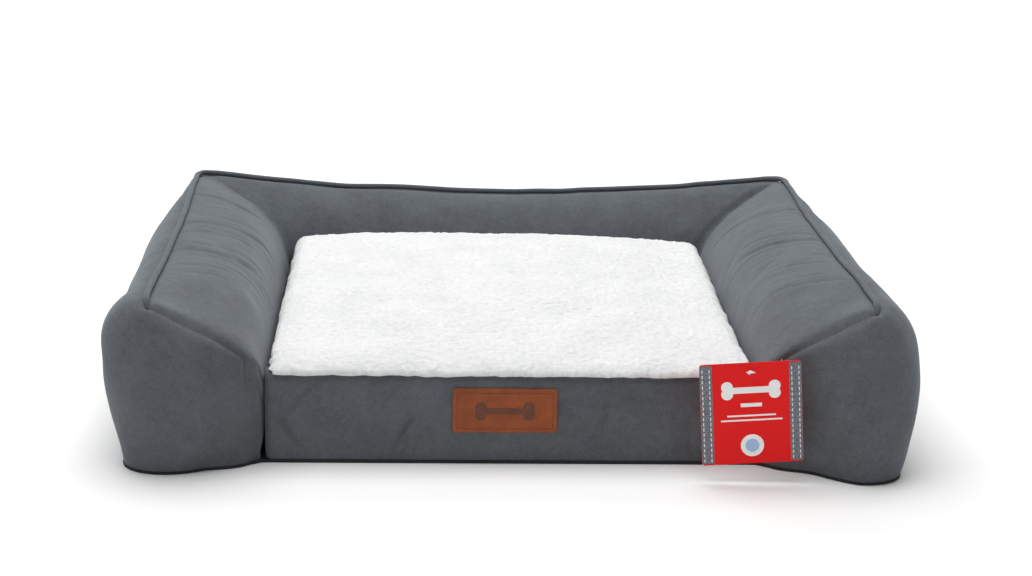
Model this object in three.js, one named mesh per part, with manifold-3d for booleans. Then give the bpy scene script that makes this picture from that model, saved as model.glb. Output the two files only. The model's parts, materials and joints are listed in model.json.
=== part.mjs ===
// Pet cushion bed: a three-sided bolster ring with a low front wall on a non-slip base,
// a loose sherpa-topped cushion in its well, a leather patch, a swing tag and a rear filling zip.
// Millimetres, +X to the right, +Y to the back, +Z up. The origin is on the floor, under the middle.
import * as THREE from "three";
import { mergeVertices } from "three/addons/utils/BufferGeometryUtils.js";
import Module from "manifold-3d";

const wasm = await Module();
wasm.setup();

// ---------------------------------------------------------------- driving dimensions

const WIDTH = 766; // bulge to bulge across the side bolsters
const DEPTH = 610; // bulge to bulge from the bolster ends to the back
const RIDGE_HEIGHT = 171; // fabric height at the ridge seam

const FABRIC = 1.6; // backed suede
const GAP = 0.3; // between pieces that are sewn or laid together
const LOOSE = 0.6; // between a cover and its stuffing
const BASE_THICKNESS = 2;

const SIDE_WIDTH = 145; // bulge to well, side bolster
const SIDE_RIDGE_INSET = 40; // bulge to ridge seam
const SIDE_FOOT_INSET = 19; // bulge to foot
const BACK_WIDTH = 102;
const BACK_RIDGE_INSET = 36;
const BACK_FOOT_INSET = 14;
const SHOULDER_HEIGHT = 85; // where the well side of a bolster turns upright
const TOP_FALL = 0.22; // how soon the top falls from the ridge, and how late it turns down, as shares
const TOP_TURN = 0.47;
const TOP_FLAT = 0.4;
const WELL_FOOT_INSET = 5; // the well side leans back under its shoulder

const BULGE_START = 0.44; // the outer face's control heights, as shares of the ridge's height
const BULGE_END = 0.96;
const BULGE_LEAN = 0.15; // how much of the foot's inset is left at the lower one

const END_FOOT_INSET = 21; // the front ends of the side bolsters bulge past their foot
const END_TOP_INSET = 12;
const END_BULGE_START = 0.3;
const END_BULGE_END = 0.72;
const END_TOP_RADIUS = 16;
const END_SEAM = 9; // from the upper edge of an end back to its seam
const OUTER_FRONT_RADIUS = 60; // plan corners
const INNER_FRONT_RADIUS = 60;
const BACK_RADIUS = 55;

const FRONT_WALL_SETBACK = 54; // bolster ends stand this far in front of the wall
const FRONT_WALL_HEIGHT = 92;
const FRONT_WALL_THICKNESS = 30;
const FRONT_WALL_RADIUS = 12;
const FRONT_WALL_END_CLEARANCE = 1;

const CUSHION_CLEARANCE = 4; // to the bolsters, beside the cushion
const CUSHION_BACK_CLEARANCE = 6;
const CUSHION_RADIUS = 18;
const CUSHION_FRONT_RISE = 9.2; // top of the pile at its edges, above the front wall
const CUSHION_BACK_RISE = 23;
const CUSHION_BACK_CROWN = 9;
const CUSHION_CROWN = 9;
const SHERPA = 6; // knitted back and pile
const CUSHION_CLOTH = 1.2;
const CUSHION_SEAM = 2;
const LIP_OVERHANG = 2; // the pile stops this far behind the face of the front wall

const PIPING_RADIUS = 2.8;
const PIPING_CORNER_RADIUS = 14;
const PIPING_SIDES = 10;

const PATCH_WIDTH = 101;
const PATCH_HEIGHT = 44;
const PATCH_THICKNESS = 1.8;
const PATCH_RADIUS = 3;
const PATCH_CENTRE_X = -6;
const PATCH_CENTRE_HEIGHT = 55;

const TAG_WIDTH = 96;
const TAG_HEIGHT = 100;
const TAG_THICKNESS = 0.6;
const TAG_RADIUS = 3;
const TAG_HOLE_RADIUS = 2.5;
const TAG_HOLE_DROP = 10; // hole centre below the card's upper edge
const TAG_HANG_HEIGHT = 112; // filament above the floor
const TAG_TURN = THREE.MathUtils.degToRad(3); // the card faces a little towards the middle
const TAG_ASIDE = 17; // hole to the bolster's well side
const TAG_TUCK = 2; // hole behind the bolsters' front ends
const TACK_RADIUS = 0.45; // plastic filament
const TACK_BAR_RADIUS = 0.6;
const TACK_BAR_LENGTH = 8;
const TACK_DEPTH = 9; // cloth to the bar behind it
const TACK_SLACK = 4.4; // card to the bar in front of it, so that the card can swing under it
const TACK_BEND = 6; // card to the place where the filament turns towards the bolster

const ZIP_HEIGHT = 34; // centre line above the floor
const ZIP_LENGTH = 520;
const ZIP_TAPE_WIDTH = 13;
const ZIP_TAPE_THICKNESS = 0.8;
const ZIP_TAPE_END = 9; // past the coil
const ZIP_STOP_LENGTH = 3;
const ZIP_ROW_WIDTH = 2.5;
const ZIP_ROW_THICKNESS = 2.2;
const ZIP_MIDDLE_GAP = 1.4; // between the two rows
const ZIP_SLOT_WIDTH = 12; // the opening behind the tapes
const SLIDER_LENGTH = 12;
const SLIDER_PLATE = 1.1;
const SLIDER_WALL = 1;
const SLIDER_RADIUS = 2;
const PULL_LENGTH = 24;
const PULL_WIDTH = 7;
const PULL_THICKNESS = 1.4;
const PULL_RADIUS = 2;
const BAIL_WIRE = 1.2;
const EYE_WALL = 0.8;

const LABEL_WIDTH = 38;
const LABEL_HEIGHT = 52;
const LABEL_THICKNESS = 0.5;
const LABEL_CENTRE_X = -312; // beside the end of the zip
const LABEL_CENTRE_HEIGHT = 72;

// ---------------------------------------------------------------- places worked out from them

const SIDE_BULGE = WIDTH / 2;
const SIDE_RIDGE = SIDE_BULGE - SIDE_RIDGE_INSET;
const SIDE_WELL = SIDE_BULGE - SIDE_WIDTH;
const BACK_BULGE = DEPTH / 2;
const BACK_RIDGE = BACK_BULGE - BACK_RIDGE_INSET;
const BACK_WELL = BACK_BULGE - BACK_WIDTH;
const FRONT_BULGE = -DEPTH / 2;
const FRONT_WALL_FACE = FRONT_BULGE + FRONT_WALL_SETBACK;
const FLOOR = BASE_THICKNESS + GAP; // where the covers stand on the base
const END_SEAM_Y = FRONT_BULGE + END_TOP_INSET + END_SEAM;
const FAR = WIDTH + DEPTH; // past everything
const SUNK = 0.2; // how far the pieces of one casting run into each other
const CURVE_STEPS = 12;
const ARC_STEPS = 6;

// ---------------------------------------------------------------- tools

const v2 = (x, y) => new THREE.Vector2(x, y);
const { lerp } = THREE.MathUtils;

// A closed three.js geometry as a manifold solid.
function solid(geometry) {
  const bare = geometry.clone();
  bare.deleteAttribute("normal");
  bare.deleteAttribute("uv");
  const merged = mergeVertices(bare, 1e-4);
  return new wasm.Manifold(
    new wasm.Mesh({
      numProp: 3,
      vertProperties: merged.attributes.position.array,
      triVerts: new Uint32Array(merged.index.array),
    }),
  );
}

// A manifold solid as a three.js geometry.
function geometryOf(manifold) {
  const mesh = manifold.getMesh();
  return new THREE.BufferGeometry()
    .setAttribute("position", new THREE.BufferAttribute(mesh.vertProperties, 3))
    .setIndex(new THREE.BufferAttribute(mesh.triVerts, 1));
}

// Moves every edge of a closed outline inwards by a distance, with mitred corners.
function inset(outline, distance) {
  const turn = THREE.ShapeUtils.isClockWise(outline) ? -1 : 1;
  const inward = (a, b) => v2(a.y - b.y, b.x - a.x).normalize().multiplyScalar(turn);
  return outline.map((point, i) => {
    const before = inward(outline.at(i - 1), point);
    const after = inward(point, outline[(i + 1) % outline.length]);
    const middle = before.clone().add(after).normalize();
    return point.clone().addScaledVector(middle, distance / middle.dot(before));
  });
}

// An outline through corners given as [x, y, radius], each rounded by an arc.
function rounded(corners) {
  const outline = [];
  corners.forEach(([x, y, radius], i) => {
    const corner = v2(x, y);
    if (!radius) {
      outline.push(corner);
      return;
    }
    const before = v2(...corners.at(i - 1)).sub(corner).normalize();
    const after = v2(...corners[(i + 1) % corners.length]).sub(corner).normalize();
    const half = before.angleTo(after) / 2;
    const outwards = before.clone().add(after).setLength(radius / Math.sin(half));
    const centre = outwards.add(corner);
    const start = before.clone().multiplyScalar(radius / Math.tan(half)).add(corner).sub(centre);
    const end = after.clone().multiplyScalar(radius / Math.tan(half)).add(corner).sub(centre);
    const sweep = Math.sign(start.cross(end)) * start.angleTo(end);
    for (let step = 0; step <= ARC_STEPS; step += 1) {
      outline.push(start.clone().rotateAround(v2(0, 0), (sweep * step) / ARC_STEPS).add(centre));
    }
  });
  return outline;
}

function roundedRectangle(x0, x1, y0, y1, radius) {
  return rounded([
    [x0, y0, radius],
    [x1, y0, radius],
    [x1, y1, radius],
    [x0, y1, radius],
  ]);
}

// Prisms: an outline in one plane, carried along the third axis.
function extrude(outline, from, to) {
  const settings = { depth: to - from, bevelEnabled: false };
  return new THREE.ExtrudeGeometry(new THREE.Shape(outline), settings).translate(0, 0, from);
}
const X = new THREE.Vector3(1, 0, 0);
const Y = new THREE.Vector3(0, 1, 0);
const Z = new THREE.Vector3(0, 0, 1);
const carry = (geometry, ...axes) => geometry.applyMatrix4(new THREE.Matrix4().makeBasis(...axes));
const alongZ = (outline, from, to) => solid(extrude(outline, from, to));
const alongX = (outline, from, to) => solid(carry(extrude(outline, from, to), Y, Z, X));
const alongY = (outline, from, to) => solid(carry(extrude(outline, -to, -from), X, Z, Y.clone().negate()));

function box(x0, x1, y0, y1, z0, z1) {
  const geometry = new THREE.BoxGeometry(x1 - x0, y1 - y0, z1 - z0);
  return geometry.translate((x0 + x1) / 2, (y0 + y1) / 2, (z0 + z1) / 2);
}

// A round cord along a path, and a round bar from one point to another.
function cord(path, radius, sides, steps) {
  const section = new THREE.Shape().absarc(0, 0, radius, 0, Math.PI * 2);
  return new THREE.ExtrudeGeometry(section, { steps, curveSegments: sides, extrudePath: path });
}
const bar = (from, to, radius, sides = 12) => cord(new THREE.LineCurve3(from, to), radius, sides, 1);

const bed = new THREE.Group();

function add(parent, name, geometry, material) {
  const mesh = new THREE.Mesh(geometry, material);
  mesh.name = name;
  parent.add(mesh);
  return mesh;
}

// ---------------------------------------------------------------- materials

const cloth = (color, roughness) => new THREE.MeshStandardMaterial({ color, roughness, metalness: 0 });
const suede = cloth(0x62666a, 0.9);
const sherpa = cloth(0xf0f0ee, 1);
const cushionCloth = cloth(0x6a6e72, 0.9);
const stuffing = cloth(0xf4f4f0, 1);
const baseCloth = cloth(0x2c2e30, 0.85);
const leather = cloth(0x84421f, 0.6);
const tagCard = cloth(0xdd2222, 0.5);
const tackPlastic = cloth(0xf2f2f2, 0.4);
const zipTape = cloth(0x3a3d40, 0.8);
const zipPlastic = cloth(0x2f3234, 0.45);
const zipMetal = new THREE.MeshStandardMaterial({ color: 0x3c3e40, roughness: 0.35, metalness: 0.8 });
const labelSatin = cloth(0xf3f3f1, 0.5);

// ---------------------------------------------------------------- bolster sections

// A curve from a foot to a top that stands furthest out, at the bulge, about half way up.
function bulgingCurve(foot, bulge, top, lowHeight, highHeight) {
  const low = v2(bulge - (bulge - foot.x) * BULGE_LEAN, lowHeight);
  const high = v2((8 * bulge - foot.x - 3 * low.x - top.x) / 3, highHeight);
  return new THREE.CubicBezierCurve(foot, low, high, top);
}

// The bulging outer face of a bolster, from its foot to its ridge seam.
function outerFace(bulge, footInset, ridgeInset) {
  const foot = v2(bulge - footInset, FLOOR);
  const ridge = v2(bulge - ridgeInset, RIDGE_HEIGHT);
  return bulgingCurve(foot, bulge, ridge, RIDGE_HEIGHT * BULGE_START, RIDGE_HEIGHT * BULGE_END);
}

// The whole section as (distance from the middle, height), from the outer foot to the well foot.
function bolsterSection(bulge, footInset, ridgeInset, width) {
  const well = bulge - width;
  const ridge = v2(bulge - ridgeInset, RIDGE_HEIGHT);
  const top = new THREE.CubicBezierCurve(
    ridge,
    v2(lerp(ridge.x, well, TOP_FLAT), lerp(RIDGE_HEIGHT, SHOULDER_HEIGHT, TOP_FALL)),
    v2(well, lerp(SHOULDER_HEIGHT, RIDGE_HEIGHT, TOP_TURN)),
    v2(well, SHOULDER_HEIGHT),
  );
  const outer = outerFace(bulge, footInset, ridgeInset).getPoints(CURVE_STEPS);
  return [...outer, ...top.getPoints(CURVE_STEPS).slice(1), v2(well + WELL_FOOT_INSET, FLOOR)];
}

// A section or profile moved in by a distance, its foot line moved to a height.
function lined(outline, distance, footHeight) {
  const moved = inset(outline, distance);
  const feet = outline.map((point) => point.y === FLOOR);
  moved.forEach((point, i) => {
    if (feet[i]) point.y = footHeight;
  });
  return moved;
}

const sideSection = bolsterSection(SIDE_BULGE, SIDE_FOOT_INSET, SIDE_RIDGE_INSET, SIDE_WIDTH);
const backSection = bolsterSection(BACK_BULGE, BACK_FOOT_INSET, BACK_RIDGE_INSET, BACK_WIDTH);

// The front end of a side bolster, seen from the side, as (y, height).
const endFoot = v2(FRONT_BULGE + END_FOOT_INSET, FLOOR);
const endTop = v2(FRONT_BULGE + END_TOP_INSET, RIDGE_HEIGHT - END_TOP_RADIUS);
const endFace = bulgingCurve(
  endFoot,
  FRONT_BULGE,
  endTop,
  RIDGE_HEIGHT * END_BULGE_START,
  RIDGE_HEIGHT * END_BULGE_END,
);
const endRound = new THREE.QuadraticBezierCurve(
  endTop,
  v2(endTop.x, RIDGE_HEIGHT),
  v2(endTop.x + END_TOP_RADIUS, RIDGE_HEIGHT + GAP),
);
const endProfile = [
  ...endFace.getPoints(CURVE_STEPS),
  ...endRound.getPoints(ARC_STEPS).slice(1),
  v2(FAR, RIDGE_HEIGHT + GAP),
  v2(FAR, FLOOR),
];

// Plan of the right bolster.
const sidePlan = rounded([
  [SIDE_WELL, FRONT_BULGE, INNER_FRONT_RADIUS],
  [SIDE_BULGE, FRONT_BULGE, OUTER_FRONT_RADIUS],
  [SIDE_BULGE, BACK_BULGE, BACK_RADIUS],
  [SIDE_WELL, BACK_BULGE, 0],
]);
const backPlan = rounded([
  [-SIDE_BULGE, BACK_BULGE, BACK_RADIUS],
  [-SIDE_BULGE, 0, 0],
  [SIDE_BULGE, 0, 0],
  [SIDE_BULGE, BACK_BULGE, BACK_RADIUS],
]);

// A bolster's volume, all its faces moved in by a distance, its foot at a height.
function sideVolume(distance, foot) {
  return alongY(lined(sideSection, distance, foot), -FAR, FAR)
    .intersect(alongX(lined(endProfile, distance, foot), -FAR, FAR))
    .intersect(alongZ(inset(sidePlan, distance), -FAR, FAR));
}
function backVolume(distance, foot) {
  return alongX(lined(backSection, distance, foot), -FAR, FAR).intersect(
    alongZ(inset(backPlan, distance), -FAR, FAR),
  );
}
const BELOW = -FABRIC; // a cavity that is open under its cover
const sideShell = sideVolume(0, FLOOR).subtract(sideVolume(FABRIC, BELOW));
const backShell = backVolume(0, FLOOR).subtract(backVolume(FABRIC, BELOW));

// ---------------------------------------------------------------- sewing pattern, in plan

// Right of the middle: the ridge's corner, and the mitre through it, outwards and in to the middle.
const ridgeCorner = v2(SIDE_RIDGE, BACK_RIDGE);
const mitreOut = v2(SIDE_BULGE, BACK_BULGE).sub(ridgeCorner).setLength(FAR).add(ridgeCorner);
const mitreIn = v2(0, BACK_RIDGE - (SIDE_RIDGE * (BACK_RIDGE - BACK_WELL)) / (SIDE_RIDGE - SIDE_WELL));
const acrossMiddle = (outline) => [...outline, ...outline.map((p) => v2(-p.x, p.y)).reverse()];

const sideOuterPattern = [
  v2(0, -FAR),
  v2(FAR, -FAR),
  mitreOut,
  ridgeCorner,
  v2(SIDE_RIDGE, END_SEAM_Y),
  v2(0, END_SEAM_Y),
];
const sideTopPattern = [v2(0, END_SEAM_Y), v2(SIDE_RIDGE, END_SEAM_Y), ridgeCorner, mitreIn];
const sideFillPattern = [v2(0, -FAR), v2(FAR, -FAR), mitreOut, ridgeCorner, mitreIn];
const backOuterPattern = acrossMiddle([ridgeCorner, mitreOut]);
const backTopPattern = [mitreIn, ...acrossMiddle([ridgeCorner])];
const backFillPattern = [mitreIn, ...acrossMiddle([ridgeCorner, mitreOut])];
const cutTo = (pattern) => alongZ(inset(pattern, GAP / 2), -FAR, FAR);

// ---------------------------------------------------------------- base

const footX = SIDE_BULGE - SIDE_FOOT_INSET;
const footFront = FRONT_BULGE + END_FOOT_INSET;
const footBack = BACK_BULGE - BACK_FOOT_INSET;
const wellFootX = SIDE_WELL + WELL_FOOT_INSET;
const footFrontRadius = OUTER_FRONT_RADIUS - SIDE_FOOT_INSET;
const footBackRadius = BACK_RADIUS - SIDE_FOOT_INSET;
const notchRadius = Math.min(INNER_FRONT_RADIUS - END_FOOT_INSET, FRONT_WALL_FACE - footFront - GAP);
const basePlan = rounded([
  [-footX, footFront, footFrontRadius],
  [-wellFootX, footFront, notchRadius],
  [-wellFootX, FRONT_WALL_FACE, 0],
  [wellFootX, FRONT_WALL_FACE, 0],
  [wellFootX, footFront, notchRadius],
  [footX, footFront, footFrontRadius],
  [footX, footBack, footBackRadius],
  [-footX, footBack, footBackRadius],
]);
add(bed, "base_panel", extrude(basePlan, 0, BASE_THICKNESS), baseCloth);

// ---------------------------------------------------------------- swing tag and its tack

// The tag's own frame: x along the card's width, y out of its back, z up, from the filament's centre line.

const tagBehind = v2(Math.sin(TAG_TURN), Math.cos(TAG_TURN));
const tagPlace = v2(SIDE_WELL - TAG_ASIDE, FRONT_BULGE + TAG_TUCK);
const tag = new THREE.Group();
tag.position.set(tagPlace.x, tagPlace.y, TAG_HANG_HEIGHT);
tag.rotation.z = -TAG_TURN;
bed.add(tag);

// The card hangs with the upper edge of its hole on the filament.
const holeZ = GAP + TACK_RADIUS - TAG_HOLE_RADIUS;
const tagTop = holeZ + TAG_HOLE_DROP;
const tagOutline = roundedRectangle(-TAG_WIDTH / 2, TAG_WIDTH / 2, tagTop - TAG_HEIGHT, tagTop, TAG_RADIUS);
const behindHole = (y) => new THREE.Vector3(0, y, 0);
const punch = bar(behindHole(-TAG_THICKNESS), behindHole(TAG_THICKNESS), TAG_HOLE_RADIUS, 24);
const card = alongY(tagOutline, -TAG_THICKNESS / 2, TAG_THICKNESS / 2).subtract(
  solid(punch.translate(0, 0, holeZ)),
);
add(tag, "hang_tag", geometryOf(card), tagCard);

// The tack runs from its bar before the card, through the card, then straight at the bolster's rounded end,
// where an upright bar holds it behind the cloth.
const tackBend = tagPlace.clone().addScaledVector(tagBehind, TACK_BEND);
const endCentre = v2(SIDE_WELL + INNER_FRONT_RADIUS, FRONT_BULGE + INNER_FRONT_RADIUS);
const bendToEnd = endCentre.clone().sub(tackBend);
const tackBack = bendToEnd.length() - INNER_FRONT_RADIUS + TACK_DEPTH;
const tackPin = new THREE.Group();
tackPin.position.set(tackBend.x, tackBend.y, TAG_HANG_HEIGHT);
tackPin.rotation.z = -Math.atan2(bendToEnd.x, bendToEnd.y);
const frontReach = new THREE.Vector3(TACK_BAR_LENGTH / 2, 0, 0);
const backReach = new THREE.Vector3(0, 0, TACK_BAR_LENGTH / 2);
function tackBar(y, reach, radius = TACK_BAR_RADIUS) {
  const centre = behindHole(y);
  return solid(bar(centre.clone().sub(reach), centre.clone().add(reach), radius));
}
const tackFront = -TACK_SLACK - TACK_BAR_RADIUS;
tag.updateMatrix();
tackPin.updateMatrix();
const throughCard = solid(bar(behindHole(tackFront), behindHole(TACK_BEND + TACK_RADIUS), TACK_RADIUS))
  .add(tackBar(tackFront, frontReach))
  .transform(tag.matrix.elements);
const intoBolster = solid(bar(behindHole(-TACK_RADIUS), behindHole(tackBack), TACK_RADIUS))
  .add(tackBar(tackBack, backReach))
  .transform(tackPin.matrix.elements);
add(bed, "tag_tack", geometryOf(throughCard.add(intoBolster)), tackPlastic);

// What the tack needs in the cloth and in the stuffing, in the bed's frame.
const needle = solid(bar(behindHole(0), behindHole(tackBack), TACK_RADIUS + GAP));
const barRoom = tackBar(tackBack, new THREE.Vector3(0, 0, TACK_BAR_LENGTH / 2 + GAP), TACK_BAR_RADIUS + GAP);
const needleHole = needle.add(barRoom).transform(tackPin.matrix.elements);
const pocketX = TACK_BAR_RADIUS + GAP;
const pocketZ = TACK_BAR_LENGTH / 2 + GAP;
const pocket = box(-pocketX, pocketX, 0, tackBack + pocketX, -pocketZ, pocketZ);
const barPocket = solid(pocket.applyMatrix4(tackPin.matrix));

// ---------------------------------------------------------------- side bolsters

const sideOuter = sideShell.intersect(cutTo(sideOuterPattern));
const sideTop = sideShell.intersect(cutTo(sideTopPattern));
const sideFill = sideVolume(FABRIC + LOOSE, FLOOR + GAP).intersect(cutTo(sideFillPattern));
const leftBolster = new THREE.Group();
leftBolster.scale.x = -1;
const rightBolster = new THREE.Group();
bed.add(leftBolster, rightBolster);
add(leftBolster, "left_outer_panel", geometryOf(sideOuter), suede);
add(leftBolster, "left_top_panel", geometryOf(sideTop), suede);
add(leftBolster, "left_bolster_fill", geometryOf(sideFill), stuffing);
add(rightBolster, "right_outer_panel", geometryOf(sideOuter.subtract(needleHole)), suede);
add(rightBolster, "right_top_panel", geometryOf(sideTop.subtract(needleHole)), suede);
add(rightBolster, "right_bolster_fill", geometryOf(sideFill.subtract(barPocket)), stuffing);

// ---------------------------------------------------------------- places on the back's outer face

const backFace = outerFace(BACK_BULGE, BACK_FOOT_INSET, BACK_RIDGE_INSET);
function shareAtHeight(curve, height) {
  let low = 0;
  let high = 1;
  while (high - low > 1e-6) {
    const share = (low + high) / 2;
    if (curve.getPoint(share).y < height) low = share;
    else high = share;
  }
  return low;
}

// A group standing on the face at a height: x along the bed to the left, y up the cloth, z out of it.
function onBack(x, height) {
  const share = shareAtHeight(backFace, height);
  const point = backFace.getPoint(share);
  const up = backFace.getTangent(share);
  const group = new THREE.Group();
  group.position.set(x, point.x, point.y);
  const basis = new THREE.Matrix4().makeBasis(
    X.clone().negate(),
    new THREE.Vector3(0, up.x, up.y),
    new THREE.Vector3(0, up.y, -up.x),
  );
  group.quaternion.setFromRotationMatrix(basis);
  bed.add(group);
  group.updateMatrix();
  return { group, lean: Math.atan2(up.x, up.y) };
}

// ---------------------------------------------------------------- zip along the foot of the back

const { group: zip, lean: zipLean } = onBack(0, ZIP_HEIGHT);
const half = ZIP_LENGTH / 2;
const middle = ZIP_MIDDLE_GAP / 2;
const tapeTop = GAP + ZIP_TAPE_THICKNESS;
const rowFoot = tapeTop + GAP;
const rowTop = rowFoot + ZIP_ROW_THICKNESS;
const rowEdge = middle + ZIP_ROW_WIDTH;

// The opening behind the tapes, cut into the cloth, and the slider's way, cut into the stuffing.
function zipSlot(depth) {
  const slot = box(-half, half, -ZIP_SLOT_WIDTH / 2, ZIP_SLOT_WIDTH / 2, -depth, FABRIC);
  return solid(slot.applyMatrix4(zip.matrix));
}

// Each tape carries its row of coil as a plain bar, from stop to stop.
const rowHalf = half - ZIP_TAPE_END;
for (const [side, name] of [
  [1, "upper"],
  [-1, "lower"],
]) {
  const flip = side > 0 ? 0 : Math.PI;
  const tape = box(-half, half, middle, middle + ZIP_TAPE_WIDTH, GAP, tapeTop);
  const row = box(-rowHalf, rowHalf, middle, rowEdge, rowFoot, rowTop);
  add(zip, `zip_tape_${name}`, tape.rotateZ(flip), zipTape);
  add(zip, `zip_coil_${name}`, row.rotateZ(flip), zipPlastic);
}
for (const [end, name] of [
  [1, "left"],
  [-1, "right"],
]) {
  const x = end * (rowHalf + GAP + ZIP_STOP_LENGTH / 2);
  const stop = box(x - ZIP_STOP_LENGTH / 2, x + ZIP_STOP_LENGTH / 2, -rowEdge, rowEdge, rowFoot, rowTop);
  add(zip, `zip_stop_${name}`, stop, zipMetal);
}

// The slider: a plate before the coil and one behind the tapes, joined by a blade between the rows.
const sliderHalf = SLIDER_LENGTH / 2;
const wallHalf = sliderHalf - 1;
const flange = rowEdge + GAP;
const rim = flange + SLIDER_WALL;
const plateFoot = rowTop + GAP;
const plateTop = plateFoot + SLIDER_PLATE;
const bladeHalf = middle - GAP;
const slider = new THREE.Group();
slider.position.x = rowHalf - sliderHalf;
zip.add(slider);
const plateOutline = roundedRectangle(-sliderHalf, sliderHalf, -rim, rim, SLIDER_RADIUS);
const bailRise = EYE_WALL + 3 * GAP;
const bailHalf = sliderHalf - 2;
const bailEyeHalf = bailHalf - BAIL_WIRE;
const bailTop = plateTop + bailRise;
const wireHalf = BAIL_WIRE / 2;
const sliderBody = alongZ(plateOutline, plateFoot, plateTop)
  .add(alongZ(plateOutline, -GAP - SLIDER_PLATE, -GAP / 2))
  .add(solid(box(-wallHalf, wallHalf, -bladeHalf, bladeHalf, -GAP - SUNK, plateFoot + SUNK)))
  .add(solid(box(-wallHalf, wallHalf, flange, rim, rowFoot, plateFoot + SUNK)))
  .add(solid(box(-wallHalf, wallHalf, -rim, -flange, rowFoot, plateFoot + SUNK)))
  .add(solid(box(-bailHalf, bailHalf, -wireHalf, wireHalf, plateTop - SUNK, bailTop + BAIL_WIRE)))
  .subtract(solid(box(-bailEyeHalf, bailEyeHalf, -BAIL_WIRE, BAIL_WIRE, plateTop, bailTop)));
add(slider, "zip_slider", geometryOf(sliderBody), zipMetal);

// The pull is rolled round the bail's wire and hangs straight down from it.
const pull = new THREE.Group();
pull.position.z = bailTop + wireHalf;
pull.rotation.x = -zipLean;
slider.add(pull);
const eyeInner = wireHalf * Math.SQRT2 + GAP;
const eyeOuter = eyeInner + EYE_WALL;
const eyeHalf = bailEyeHalf - GAP;
const alongEye = (x) => new THREE.Vector3(x, 0, 0);
const rolledEye = solid(bar(alongEye(-eyeHalf), alongEye(eyeHalf), eyeOuter, 20));
const eyeBore = solid(bar(alongEye(-bailHalf), alongEye(bailHalf), eyeInner, 20));
const neckTop = -eyeInner - EYE_WALL / 2;
const neckFoot = -eyeOuter - 1;
const shoulder = neckFoot - 1;
const pullOutline = rounded([
  [-eyeHalf, neckTop, 0],
  [-eyeHalf, neckFoot, 0],
  [-PULL_WIDTH / 2, shoulder, 0],
  [-PULL_WIDTH / 2, -PULL_LENGTH, PULL_RADIUS],
  [PULL_WIDTH / 2, -PULL_LENGTH, PULL_RADIUS],
  [PULL_WIDTH / 2, shoulder, 0],
  [eyeHalf, neckFoot, 0],
  [eyeHalf, neckTop, 0],
]);
const pullPlate = alongZ(pullOutline, -PULL_THICKNESS / 2, PULL_THICKNESS / 2);
add(pull, "zip_pull", geometryOf(rolledEye.add(pullPlate).subtract(eyeBore)), zipMetal);

// ---------------------------------------------------------------- care label, sewn flat on the back

const { group: label } = onBack(LABEL_CENTRE_X, LABEL_CENTRE_HEIGHT);
const labelX = LABEL_WIDTH / 2;
const labelY = LABEL_HEIGHT / 2;
const labelPlate = box(-labelX, labelX, -labelY, labelY, GAP, GAP + LABEL_THICKNESS);
add(label, "care_label", labelPlate, labelSatin);

// ---------------------------------------------------------------- back bolster

const backOuter = backShell.intersect(cutTo(backOuterPattern)).subtract(zipSlot(2 * FABRIC));
const backTop = backShell.intersect(cutTo(backTopPattern));
const backFill = backVolume(FABRIC + LOOSE, FLOOR + GAP)
  .intersect(cutTo(backFillPattern))
  .subtract(zipSlot(FABRIC + LOOSE + GAP));
add(bed, "back_outer_panel", geometryOf(backOuter), suede);
add(bed, "back_top_panel", geometryOf(backTop), suede);
add(bed, "back_bolster_fill", geometryOf(backFill), stuffing);

// ---------------------------------------------------------------- ridge piping

const pipingHeight = RIDGE_HEIGHT + GAP + PIPING_RADIUS;
const ridgePoint = (x, y) => new THREE.Vector3(x, y, pipingHeight);
const cornerStart = BACK_RIDGE - PIPING_CORNER_RADIUS;
const cornerEnd = SIDE_RIDGE - PIPING_CORNER_RADIUS;
const pipingRun = (from, to) => solid(bar(from, to, PIPING_RADIUS, PIPING_SIDES));
let piping = pipingRun(ridgePoint(-cornerEnd - SUNK, BACK_RIDGE), ridgePoint(cornerEnd + SUNK, BACK_RIDGE));
for (const side of [-1, 1]) {
  const ridgeX = side * SIDE_RIDGE;
  const corner = new THREE.QuadraticBezierCurve3(
    ridgePoint(ridgeX, cornerStart),
    ridgePoint(ridgeX, BACK_RIDGE),
    ridgePoint(side * cornerEnd, BACK_RIDGE),
  );
  piping = piping
    .add(pipingRun(ridgePoint(ridgeX, END_SEAM_Y), ridgePoint(ridgeX, cornerStart + SUNK)))
    .add(solid(cord(corner, PIPING_RADIUS, PIPING_SIDES, ARC_STEPS)));
}
add(bed, "ridge_piping", geometryOf(piping), suede);

// ---------------------------------------------------------------- front wall

const wallBack = FRONT_WALL_FACE + FRONT_WALL_THICKNESS;
const wallEnd = SIDE_WELL - FRONT_WALL_END_CLEARANCE;
const wallSection = rounded([
  [FRONT_WALL_FACE, FLOOR, 0],
  [wallBack, FLOOR, 0],
  [wallBack, FRONT_WALL_HEIGHT, FRONT_WALL_RADIUS],
  [FRONT_WALL_FACE, FRONT_WALL_HEIGHT, FRONT_WALL_RADIUS],
]);
const wallHollow = alongX(lined(wallSection, FABRIC, BELOW), -FAR, FAR);
const wallCover = alongX(wallSection, -wallEnd, wallEnd).subtract(wallHollow);
add(bed, "front_wall_cover", geometryOf(wallCover), suede);
const wallFoam = alongX(lined(wallSection, FABRIC + LOOSE, FLOOR + GAP), -wallEnd + GAP, wallEnd - GAP);
add(bed, "front_wall_fill", geometryOf(wallFoam), stuffing);

const patchFace = FRONT_WALL_FACE - GAP;
const patchOutline = roundedRectangle(
  PATCH_CENTRE_X - PATCH_WIDTH / 2,
  PATCH_CENTRE_X + PATCH_WIDTH / 2,
  PATCH_CENTRE_HEIGHT - PATCH_HEIGHT / 2,
  PATCH_CENTRE_HEIGHT + PATCH_HEIGHT / 2,
  PATCH_RADIUS,
);
const patch = alongY(patchOutline, patchFace - PATCH_THICKNESS, patchFace);
add(bed, "leather_patch", geometryOf(patch), leather);

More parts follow.
